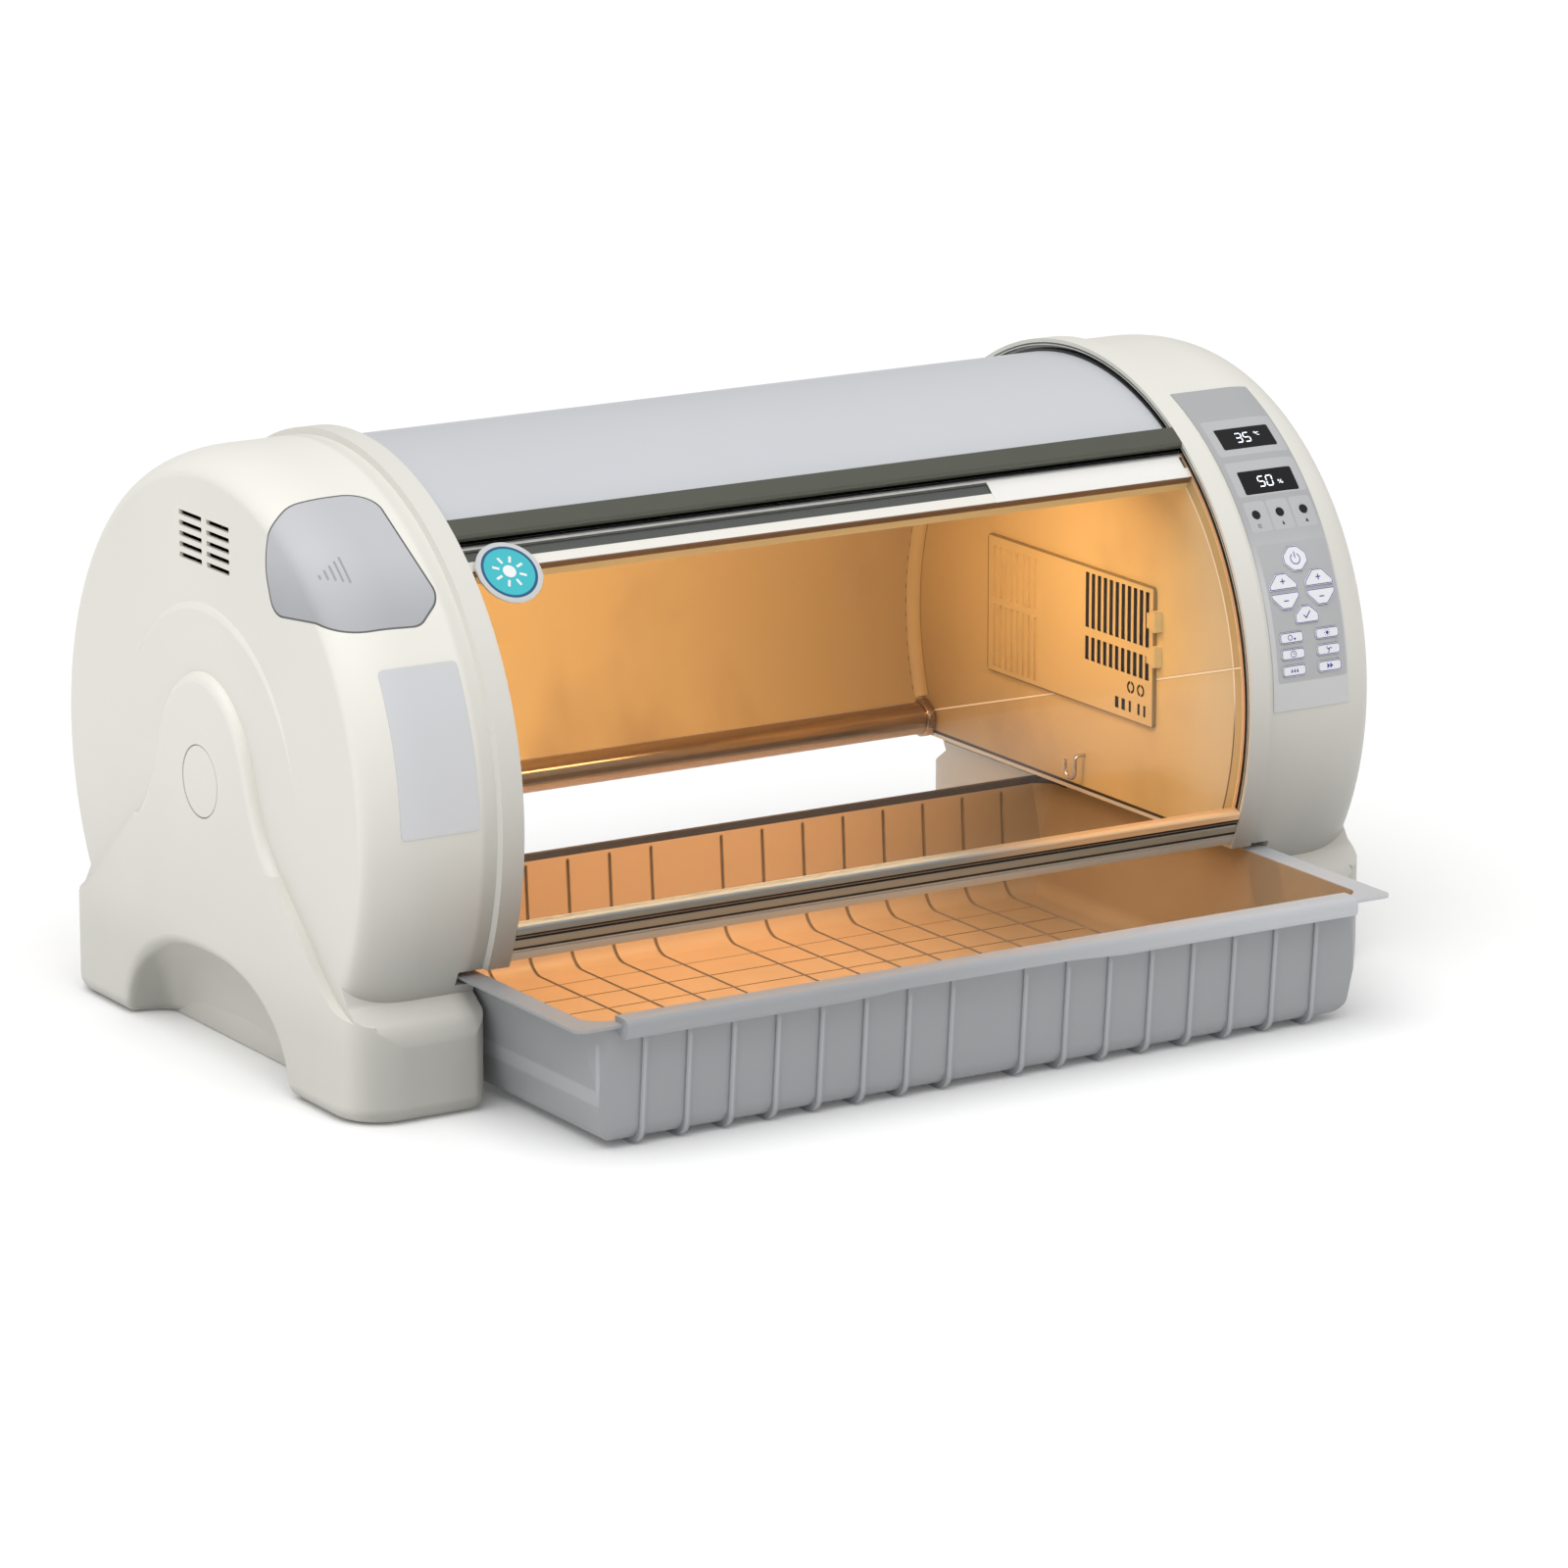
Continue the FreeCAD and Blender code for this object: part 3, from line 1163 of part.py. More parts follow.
def label_plate():
    """The bare plate on the front of the left housing."""
    low, high = LABEL_ANGLES
    middle = (low + high) / 2
    half_x = (LABEL_X[1] - LABEL_X[0]) / 2
    half_y = BODY_RADIUS * math.sin(math.radians((high - low) / 2))
    corner = LABEL_CORNER
    outline = [
        (-half_x, -half_y, corner),
        (half_x, -half_y, corner),
        (half_x, half_y, corner),
        (-half_x, half_y, corner),
    ]
    span = radial_prism(outline, LABEL_X[0] + half_x, middle, BODY_RADIUS - 20, DRUM_RADIUS + 10)
    plate = drum_solid(-LABEL_THICKNESS).cut(drum_solid(-PLATE_GAP))
    return mirrored(plate.common(span))


def tray_runner():
    """The low-friction strip on the groove's floor, for the right side."""
    span_y = (-FOOT_REACH + FOOT_CORNER, TRAY_CLOSED_BACK)
    return box((FOOT_INNER_X + 1, GROOVE_X - 0.5), span_y, (GROOVE_BOTTOM, RUNNER_TOP))


def tray_section(offset, top, below=0.0):
    """The tray's front-to-back outline, moved outwards by an offset, and lower by a depth."""
    floor = TRAY_FLOOR + TRAY_WALL - offset - below
    front_top = TRAY_FRONT - offset
    back_top = TRAY_BACK + offset
    return [
        (front_top, top, 0.0),
        (front_top + TRAY_FRONT_DRAFT, floor, TRAY_FRONT_RADIUS + offset),
        (back_top - TRAY_BACK_DRAFT, floor, TRAY_BACK_RADIUS + offset),
        (back_top, top, 0.0),
    ]


def tray_body_solid(offset, top):
    """The tray's bowl as a full solid, with its sides drawn in towards the floor."""
    half = TRAY_HALF_LENGTH + offset
    block = prism(side_outline(tray_section(offset, top), -half), Vector(2 * half, 0, 0))
    floor = TRAY_FLOOR + TRAY_WALL - offset
    side_corner = TRAY_SIDE_RADIUS + offset
    front = TRAY_FRONT - 20
    ends = [
        (Vector(-half, front, top), 0.0),
        (Vector(-half + TRAY_SIDE_DRAFT, front, floor), side_corner),
        (Vector(half - TRAY_SIDE_DRAFT, front, floor), side_corner),
        (Vector(half, front, top), 0.0),
    ]
    across = prism(ends, Vector(0, TRAY_BACK - TRAY_FRONT + 60, 0))
    corner = TRAY_CORNER_RADIUS + offset
    plan = [
        (Vector(-half, TRAY_FRONT - offset, -5), corner),
        (Vector(half, TRAY_FRONT - offset, -5), corner),
        (Vector(half, TRAY_BACK + offset, -5), corner),
        (Vector(-half, TRAY_BACK + offset, -5), corner),
    ]
    return block.common(across).common(prism(plan, Vector(0, 0, 150)))


def rib_places():
    """The middle of each rib along the tray."""
    places = []
    for index in range(RIBS_PER_SIDE):
        offset = RIB_FIRST + index * RIB_PITCH
        places += [-offset, offset]
    return sorted(places)


def tray_ribs():
    """The ribs round the front, floor and back of the bowl."""
    ribs = []
    section = tray_section(TRAY_WALL + RIB_HEIGHT, FLANGE_BOTTOM, RIB_BELOW_FLOOR - RIB_HEIGHT)
    for x in rib_places():
        ribs.append(prism(side_outline(section, x - RIB_WIDTH / 2), Vector(RIB_WIDTH, 0, 0)))
    return ribs


def tray_grooves():
    """The fine grooves that the ribs leave inside the bowl."""
    grooves = []
    for x in rib_places():
        profile = side_outline(tray_section(RIB_GROOVE_DEPTH, FLANGE_BOTTOM - 6), x - RIB_GROOVE / 2)
        grooves.append(prism(profile, Vector(RIB_GROOVE, 0, 0)))
    floor = TRAY_FLOOR + TRAY_WALL
    half = max(rib_places())
    for index in range(FLOOR_LINE_COUNT):
        y = FLOOR_LINE_FIRST - index * FLOOR_LINE_PITCH
        grooves.append(box((-half, half), (y, y + FLOOR_LINE_WIDTH), (floor - FLOOR_LINE_DEPTH, floor + 1)))
    return grooves


def tray_lip():
    """The thick rounded lip along the tray's front edge, relieved in the middle for the hand."""
    back = TRAY_FRONT - TRAY_WALL + 1
    front = TRAY_FRONT - TRAY_WALL - LIP_FRONT_PROUD
    top = FLANGE_TOP + LIP_RISE
    low = top - LIP_HEIGHT
    outline = [(front, low, 5.0), (back - 6, low, 2.0), (back, low + 5, 0.0), (back, top, 0.0), (front, top, 6.5)]
    lip = prism(side_outline(outline, -LIP_HALF_LENGTH), Vector(2 * LIP_HALF_LENGTH, 0, 0))
    left, right = GRIP_X
    y = front - 5
    relief = [
        (Vector(left - 3 * GRIP_SLOPE, y, low - 5), 0.0),
        (Vector(right + 3 * GRIP_SLOPE, y, low - 5), 0.0),
        (Vector(right + 3 * GRIP_SLOPE, y, low), 0.0),
        (Vector(right + GRIP_SLOPE, y, low), GRIP_BEND),
        (Vector(right - GRIP_SLOPE, y, low + GRIP_RELIEF), GRIP_BEND),
        (Vector(left + GRIP_SLOPE, y, low + GRIP_RELIEF), GRIP_BEND),
        (Vector(left - GRIP_SLOPE, y, low), GRIP_BEND),
        (Vector(left - 3 * GRIP_SLOPE, y, low), 0.0),
    ]
    return lip.cut(prism(relief, Vector(0, 40, 0)))


def tray():
    """The draw-out tray: ribbed bowl, flange and lip in one moulding."""
    outer = tray_body_solid(TRAY_WALL, FLANGE_TOP)
    reach_y = (TRAY_FRONT - TRAY_WALL - 10, TRAY_BACK + TRAY_WALL + TRAY_BACK_FLANGE)
    plan = [
        (Vector(-TRAY_HALF_OUTER, reach_y[0], FLANGE_BOTTOM), 8.0),
        (Vector(TRAY_HALF_OUTER, reach_y[0], FLANGE_BOTTOM), 8.0),
        (Vector(TRAY_HALF_OUTER, reach_y[1], FLANGE_BOTTOM), 8.0),
        (Vector(-TRAY_HALF_OUTER, reach_y[1], FLANGE_BOTTOM), 8.0),
    ]
    flange = prism(plan, Vector(0, 0, TRAY_WALL))
    solid = outer.fuse([flange, tray_lip()] + tray_ribs())
    solid = solid.cut(tray_body_solid(0.0, FLANGE_TOP + 5))
    return solid.cut(tray_grooves())


def water_bottle():
    """The humidifier's water bottle with its cap."""
    base = Vector(-BOTTLE_X, BOTTLE_Y, CRADLE_HEIGHT + 4)
    body = Part.makeCylinder(BOTTLE_RADIUS, BOTTLE_HEIGHT - 18, base)
    body = body.makeFillet(7.0, body.Edges)
    neck = Part.makeCylinder(14, 10, base + Vector(0, 0, BOTTLE_HEIGHT - 19))
    cap = Part.makeCylinder(18, 11, base + Vector(0, 0, BOTTLE_HEIGHT - 11))
    return body.fuse([neck, cap])


def bottle_cradle():
    """The shelf and back plate that hold the bottle on the left end panel."""
    wall_x = -RIM_X - PANEL_THICKNESS
    shelf = box((-BOTTLE_X - 40, wall_x), (BOTTLE_Y - 42, BOTTLE_Y + 42), (CRADLE_HEIGHT, CRADLE_HEIGHT + 4))
    back = box((wall_x - 4, wall_x), (BOTTLE_Y - 42, BOTTLE_Y + 42), (CRADLE_HEIGHT, CRADLE_HEIGHT + 50))
    centre = Vector(-BOTTLE_X, BOTTLE_Y, CRADLE_HEIGHT + 4)
    ring = Part.makeCylinder(BOTTLE_RADIUS + 3, 14, centre)
    ring = ring.cut(Part.makeCylinder(BOTTLE_RADIUS + 0.4, 14, centre))
    return shelf.fuse([back, ring]).removeSplitter()


def atomiser():
    """The ultrasonic mist maker under the bottle's shelf."""
    top = Vector(-BOTTLE_X, BOTTLE_Y, CRADLE_HEIGHT - 22)
    body = Part.makeCylinder(24, 22, top)
    spout = Part.makeCylinder(9, 30, Vector(-BOTTLE_X + 18, BOTTLE_Y, CRADLE_HEIGHT - 11), Vector(1, 0, 0))
    return body.fuse(spout)


def power_supply():
    """The closed power supply on the right housing's floor."""
    z = GROOVE_TOP + HOUSING_WALL
    x = RIM_X + 17
    block = box((x, x + 70), (70, 150), (z, z + 38))
    for index in range(6):
        y = 80 + index * 11
        block = block.cut(box((x + 10, x + 60), (y, y + 3), (z + 34, z + 39)))
    return block


def lamp_tube():
    """The cabin's lamp tube under the roof."""
    centre = at(LAMP_ANGLE, LINER_RADIUS - LAMP_DROP)
    start = Vector(-LAMP_HALF_LENGTH, centre.y, centre.z)
    return Part.makeCylinder(LAMP_RADIUS, 2 * LAMP_HALF_LENGTH, start, Vector(1, 0, 0))


def lamp_holders():
    """The two end sockets that hang the lamp from the ceiling."""
    near, far = LAMP_HALF_LENGTH - 10, LAMP_HALF_LENGTH + 12
    block = band(LINER_RADIUS - 27, LINER_RADIUS, LAMP_ANGLE - 3, LAMP_ANGLE + 3, near, far)
    centre = at(LAMP_ANGLE, LINER_RADIUS - LAMP_DROP)
    start = Vector(near - 1, centre.y, centre.z)
    socket = Part.makeCylinder(LAMP_RADIUS + 0.05, 11.05, start, Vector(1, 0, 0))
    holder = block.cut(socket)
    return [mirrored(holder), holder]


def probe_hook():
    """The small bent wire hook on the right end panel that carries a sensor lead."""
    x = RIM_X - HOOK_REACH
    near, far = HOOK_Y - HOOK_RADIUS, HOOK_Y + HOOK_RADIUS
    top = HOOK_Z + 12
    bend = 4.0
    cut = bend * (1 - math.sqrt(0.5))
    edges = [
        Part.makeLine(Vector(RIM_X, near, top), Vector(x + bend, near, top)),
        Part.Arc(
            Vector(x + bend, near, top), Vector(x + cut, near, top - cut), Vector(x, near, top - bend)
        ).toShape(),
        Part.makeLine(Vector(x, near, top - bend), Vector(x, near, HOOK_Z)),
        Part.Arc(
            Vector(x, near, HOOK_Z), Vector(x, HOOK_Y, HOOK_Z - HOOK_RADIUS), Vector(x, far, HOOK_Z)
        ).toShape(),
        Part.makeLine(Vector(x, far, HOOK_Z), Vector(x, far, HOOK_Z + 7)),
    ]
    profile = Part.Wire([Part.makeCircle(HOOK_WIRE, Vector(RIM_X, near, top), Vector(1, 0, 0))])
    return Part.Wire(edges).makePipeShell([profile], True, False)


def end_screws():
    """Screws on the lower inner wall of the right housing."""
    screws = []
    near, far = FOOT_REACH - 95, FOOT_REACH - 45
    for y in (-far, -near, near, far):
        head = Part.makeCylinder(4.0, 1.4, Vector(FOOT_INNER_X - 1.4, y, 55), Vector(1, 0, 0))
        slot = box((FOOT_INNER_X - 2, FOOT_INNER_X - 0.7), (y - 3, y + 3), (54.4, 55.6))
        screws.append(head.cut(slot))
    return screws


def save(name, shape):
    """Write one node's solids."""
    if isinstance(shape, list):
        shape = Part.makeCompound(shape)
    shape.exportStep("parts/" + name + ".step")
    solids = shape.Solids
    print(name, "solids", len(solids), "valid", shape.isValid(), "volume", round(shape.Volume))


def main():
    """Build every node of the brooder."""
    os.makedirs("parts", exist_ok=True)
    shell = housing_shell()
    save("left_housing", left_housing(shell))
    save("right_housing", right_housing(shell))
    save("access_cover", access_cover())
    save("right_end_panel", right_end_panel())
    save("left_end_panel", left_end_panel())
    save("right_door_track", track_ring())
    save("left_door_track", mirrored(track_ring()))
    save("roof_shell", roof_shell())
    save("roof_liner", roof_liner())
    save("roof_front_bar", roof_front_bar())
    save("front_sill_rail", front_sill_rail())
    save("rear_rail", rear_rail())
    save("door_sheet", door_sheet())
    save("door_handle_bar", door_bar(*HANDLE_ANGLES, 2.5))
    save("door_bottom_bar", door_bar(BOTTOM_BAR_ANGLE, DOOR_BOTTOM_ANGLE, 1.8))
    save("door_badge", door_badge())
    save("name_strip", name_strip())
    save("label_plate", label_plate())
    save("tray", tray())
    save("tray_runners", [tray_runner(), mirrored(tray_runner())])
    pads = pad_pockets(PAD_THICKNESS, 0.0)
    save("rubber_feet", pads + [mirrored(pad) for pad in pads])
    save("hub_caps", [hub_cap(), mirrored(hub_cap())])
    screws = end_screws()
    save("housing_screws", screws + [mirrored(screw) for screw in screws])
    save("control_overlay", control_overlay())
    save("key_mat", key_mat())
    for name, (x, angle, outline) in key_outlines().items():
        save(name, key_solid(x, angle, outline))
    save("temperature_display", display_module(DISPLAY_ANGLES[0]))
    save("humidity_display", display_module(DISPLAY_ANGLES[1]))
    save("indicator_lamps", indicator_lamps())
    save("control_board", control_board())
    save("mains_inlet", mains_inlet())
    save("mains_switch_frame", mains_switch_frame())
    save("mains_switch_rocker", mains_switch_rocker())
    save("power_supply", power_supply())
    save("air_grille", air_grille())
    save("grille_clips", grille_clips())
    save("filter_pad", filter_pad())
    save("air_duct", air_duct())
    save("fan_frame", fan_frame())
    save("fan_rotor", fan_rotor())
    save("heater_element", heater_element())
    save("mist_outlet", mist_outlet())
    save("water_bottle", water_bottle())
    save("bottle_cradle", bottle_cradle())
    save("atomiser", atomiser())
    save("lamp_tube", lamp_tube())
    save("lamp_holders", lamp_holders())
    save("probe_hook", probe_hook())


main()
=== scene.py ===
"""Finishes, signs and studio of a pet brooder. Metres, X along the drum, the front faces -Y, Z up."""

import math

import bmesh
import bpy
from bpy.props import FloatProperty, FloatVectorProperty, PointerProperty
from bpy.types import Operator, Panel, PropertyGroup
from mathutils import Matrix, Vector
from mathutils.bvhtree import BVHTree


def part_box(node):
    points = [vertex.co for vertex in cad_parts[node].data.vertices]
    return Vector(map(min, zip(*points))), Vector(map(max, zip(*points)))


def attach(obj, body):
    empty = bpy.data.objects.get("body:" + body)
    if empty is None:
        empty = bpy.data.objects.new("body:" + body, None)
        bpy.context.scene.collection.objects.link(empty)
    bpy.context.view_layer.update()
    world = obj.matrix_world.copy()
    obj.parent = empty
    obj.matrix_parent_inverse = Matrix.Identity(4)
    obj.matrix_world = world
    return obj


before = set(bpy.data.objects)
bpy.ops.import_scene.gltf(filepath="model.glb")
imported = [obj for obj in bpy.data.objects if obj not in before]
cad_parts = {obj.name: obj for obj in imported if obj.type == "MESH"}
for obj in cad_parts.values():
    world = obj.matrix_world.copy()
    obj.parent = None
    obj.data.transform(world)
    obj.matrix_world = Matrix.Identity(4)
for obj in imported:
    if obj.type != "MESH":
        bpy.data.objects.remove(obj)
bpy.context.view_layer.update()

bl_info = {
    "name": "Pet brooder finishes",
    "version": (1, 0, 0),
    "blender": (4, 5, 0),
    "location": "3D View > Sidebar > Brooder",
    "description": "Gives the brooder its finishes, printed signs, camera and studio",
    "category": "Object",
}

MM = 0.001

# The drum, as the frame has it
AXIS_HEIGHT = 0.210
PANEL_RADIUS = 0.2458
RIM_X = 0.318
LINER_RADIUS = 0.2245
LINER_ANGLES = (64.0, 200.0)
EDGE_STRIP = 0.009
COLLAR_WALL = 0.0022
COLLAR_LENGTH = 0.008
CAST_START = 0.320
PRINT_LIFT = 0.00006

# Distances from the drum's axis between which a finish changes
HUB_LINE = ((0.0271, 0.0273), (0.0277, 0.0280))
PANEL_EDGE = ((0.2268, 0.2271), (0.2284, 0.2287))
BAR_UNDERSIDE = (0.2334, 0.2339)
TRACK_INNER_LINE = (0.2382, 0.2386)
TRACK_RIM = (0.2412, 0.2416)
TRACK_STEP = (0.2426, 0.2430)
TRACK_OUTER_LINE = (0.2455, 0.2458)

# Printed plates of the control panel: x in millimetres, then angles round the drum
KEY_PLATE = ((346.5, 411.5), (5.3, 30.4))
DISPLAY_AND_LAMP_PLATES = (
    ((346.8, 411.2), (48.6, 57.0)), ((346.8, 411.2), (39.9, 47.1)),
    ((347.6, 366.8), (32.9, 38.8)), ((368.6, 387.6), (32.9, 38.8)), ((389.8, 410.0), (32.9, 38.8)))
DISPLAYS = {"temperature_display": (52.4, "35", "degree"), "humidity_display": (42.6, "50", "percent")}
DISPLAY_X = 379.0
BADGE_X = -286.0
BADGE_ANGLE = 44.6
COVER_DIRECTION = (-0.60, -0.52, 0.61)
COVER_ARROW = (-431.0, 49.6)
LAMP_SIGNS = (378.0, 34.0)
PLATE_CORNER = 0.0025
PLATE_EDGE = 0.00015

# The badge: distances from its middle where the ring and the silver rim start
BADGE_RING = (0.0198, 0.0202)
BADGE_RIM = (0.0220, 0.0224)
SILVER = (0.78, 0.80, 0.80)

# End panels: where the painted seam highlight starts (y, z) and how it rises, and the grille's slots (y, y, z,
# z)
SEAM_BACK = (0.177, 0.130)
SEAM_SLOPE = 0.285
SLOT_BLOCK = (-0.118, 0.004, 0.180, 0.284)

# Colours of edges, gaps and lines; the slot, tray back edge and groove colours are painted shade, and the lit
# edge and seam are painted highlights
BLACK = (0.004, 0.004, 0.004)
GAP_BLACK = (0.01, 0.01, 0.01)
SLOT_SHADE = (0.022, 0.016, 0.010)
FOOT_LINE = (0.03, 0.02, 0.012)
TRAY_BACK_SHADOW = (0.045, 0.035, 0.025)
GROOVE_SHADE = (0.20, 0.11, 0.05)
LIT_EDGE = (1.0, 0.95, 0.86)
LIT_SEAM = (1.0, 0.93, 0.78)
CLEAR = (0.96, 0.97, 0.97)

# Bands of the bars: lowest and highest angle round the drum, and colour.
# A list of two colours goes from the first to the second between the two places of BAR_TURN.
BAR_TURN = (0.04, 0.20)
BAND_SOFTNESS = 0.04
ROOF_BAR = (0.90, 0.88, 0.82)
ROOF_BAR_BANDS = ((48.4, 50.85, (0.085, 0.09, 0.082)), (51.45, 60.0, BLACK), (40.0, 46.3, (0.16, 0.08, 0.03)))
ROOF_BAR_FRONT_EDGE = (46.1, 46.2)
SHEET_TOP_LINE = (51.35, 51.45)
# The bottom bar's tan towards +X is painted lamp light, and the pale band along its top is a painted highlight
# that turns brown along X.
BOTTOM_BAR = [(0.32, 0.37, 0.38), (0.95, 0.64, 0.36)]
BOTTOM_BAR_BANDS = ((-22.0, -19.1, (0.23, 0.20, 0.17)), (-19.35, -19.0, BLACK),
                    (-17.40, -15.0, [(0.62, 0.62, 0.60), (0.25, 0.13, 0.05)]))
SILL_BANDS = ((-21.8, -20.35, (0.40, 0.40, 0.35)), (-20.35, -15.0, GAP_BLACK), (-22.3, -21.8, GAP_BLACK))

# The tray: its middle, the edges of its inside, and the first place and pitch of its lines
TRAY_MIDDLE = (0.0, -0.16, 0.06)
TRAY_FRONT = (-0.3752, -0.3747)
TRAY_BACK = (0.0572, 0.0578)
TRAY_SIDE = (0.3378, 0.3384)
TRAY_FLOOR = (0.0060, 0.0064)
TRAY_RIM = (0.0975, 0.0985)
TRAY_RIBS = (0.0318, 0.0372)
TRAY_CROSS_LINES = (-0.0305, 0.0375)

# Each key's x in millimetres and its angle round the drum
KEYS = {
    "power_key": (378.0, 27.2),
    "temperature_up_key": (361.5, 21.6),
    "temperature_down_key": (361.5, 21.6),
    "humidity_up_key": (394.5, 21.6),
    "humidity_down_key": (394.5, 21.6),
    "set_key": (378.0, 16.9),
    "oxygen_key": (361.5, 13.3),
    "lamp_key": (394.5, 13.3),
    "timer_key": (361.5, 10.35),
    "fan_key": (394.5, 10.35),
    "nebuliser_key": (361.5, 7.4),
    "pump_key": (394.5, 7.4),
}

# The strokes of a seven-segment figure, in shares of its width and height
SEGMENTS = {
    "top": ((0.1, 1.0), (0.9, 1.0)), "middle": ((0.1, 0.5), (0.9, 0.5)), "bottom": ((0.1, 0.0), (0.9, 0.0)),
    "upper_left": ((0.0, 0.55), (0.0, 0.95)), "upper_right": ((1.0, 0.55), (1.0, 0.95)),
    "lower_left": ((0.0, 0.05), (0.0, 0.45)), "lower_right": ((1.0, 0.05), (1.0, 0.45)),
}
FIGURE_START = (-9.5, -4.4)
FIGURE_SIZE = (5.2, 8.8)
FIGURE_STROKE = 0.95
FIGURE_PITCH = 1.45
FIGURE_LEAN = 0.10
FIGURES = {
    "3": ("top", "middle", "bottom", "upper_right", "lower_right"),
    "5": ("top", "middle", "bottom", "upper_left", "lower_right"),
    "0": ("top", "bottom", "upper_left", "upper_right", "lower_left", "lower_right"),
}

# The studio: each light's place, target and sizes, in metres
KEY_LIGHT = ((-0.6, -3.4, 2.2), (0, 0, 0.2), (1.8, 1.8))
CABIN_LIGHT = ((-0.02, -0.07, 0.385), (-0.02, 0.06, 0.12), (0.5, 0.03))
CABIN_LIGHT_COLOUR = (1.0, 0.62, 0.32)
SKY_DIRECTION = (0.27, 0.20, -1.0)
SKY_SPREAD = 70
FLOOR_REACH = 12.0


def colour_property(name, description, default):
    """A colour that the user can change in the sidebar."""
    return FloatVectorProperty(
        name=name, description=description, subtype="COLOR", size=3, min=0.0, max=1.0, default=default)


class BrooderFinishes(PropertyGroup):
    """Colours of the brooder's mouldings, bars and signs."""

    cream: colour_property("Cream", "Moulded end housings", (0.87, 0.855, 0.785))
    cover_grey: colour_property("Cover grey", "Access cover", (0.52, 0.53, 0.555))
    roof_grey: colour_property("Roof grey", "Roof shell", (0.59, 0.605, 0.635))
    bar_olive: colour_property("Bar olive", "Door handle bar", (0.080, 0.084, 0.064))
    bar_bright: colour_property("Bright bar", "Front sill rail", (0.62, 0.63, 0.61))
    # Painted light: the cabin lining and tray inside colours are warm lamp light painted on white and grey
    # plastic, the cabin and tray shades are its painted shade, and the cabin front colour is brighter painted
    # light on the end panels' front.
    cabin_lamp_lit: colour_property("Cabin lining", "Inside of the cabin", (0.85, 0.68, 0.33))
    cabin_shade: colour_property("Cabin shade", "Darker clouds on the lining", (0.39, 0.275, 0.14))
    cabin_front_light: colour_property("Cabin front", "Paler front edge of the end panels", (0.72, 0.65, 0.45))
    tray_grey: colour_property("Tray grey", "Outside of the tray", (0.33, 0.337, 0.35))
    tray_lamp_lit: colour_property("Tray inside", "Inside of the tray", (0.66, 0.47, 0.29))
    tray_shade: colour_property("Tray shade", "Darker right end of the tray's inside", (0.31, 0.245, 0.165))
    panel_grey: colour_property("Panel grey", "Front plate of the controls", (0.57, 0.575, 0.585))
    label_grey: colour_property("Label grey", "Bare label plate", (0.61, 0.617, 0.635))
    sign_blue: colour_property("Sign blue", "Outlines and signs of the keys", (0.05, 0.06, 0.30))
    badge_teal: colour_property("Badge teal", "Face of the round badge", (0.055, 0.50, 0.56))
    badge_navy: colour_property("Badge navy", "Ring of the round badge", (0.02, 0.10, 0.22))


class BrooderView(PropertyGroup):
    """Where the camera stands and what it looks at."""

    target: FloatVectorProperty(
        name="Target", description="Point that the camera looks at", subtype="TRANSLATION",
        unit="LENGTH", size=3, default=(0.055, 0.0, 0.1405))
    distance: FloatProperty(
        name="Distance", description="From the camera to its target", unit="LENGTH", default=5.912)
    azimuth: FloatProperty(
        name="Azimuth", description="Turn round the object from the front", subtype="ANGLE",
        default=math.radians(-31.678))
    elevation: FloatProperty(
        name="Elevation", description="Angle above the horizon", subtype="ANGLE",
        default=math.radians(14.317))
    lens: FloatProperty(
        name="Lens", description="Focal length", unit="CAMERA", default=175.97)


class BrooderStudio(PropertyGroup):
    """Strengths of the studio's lights and of the light in the cabin."""

    surround: FloatProperty(name="Surround", description="Light from all round", default=0.45)
    sky: FloatProperty(name="Sky", description="Wide soft light from above", default=2.0)
    key: FloatProperty(name="Key", description="Large light from the front", unit="POWER", default=9.5)
    cabin: FloatProperty(name="Cabin", description="Warm light under the roof", unit="POWER", default=1.1)


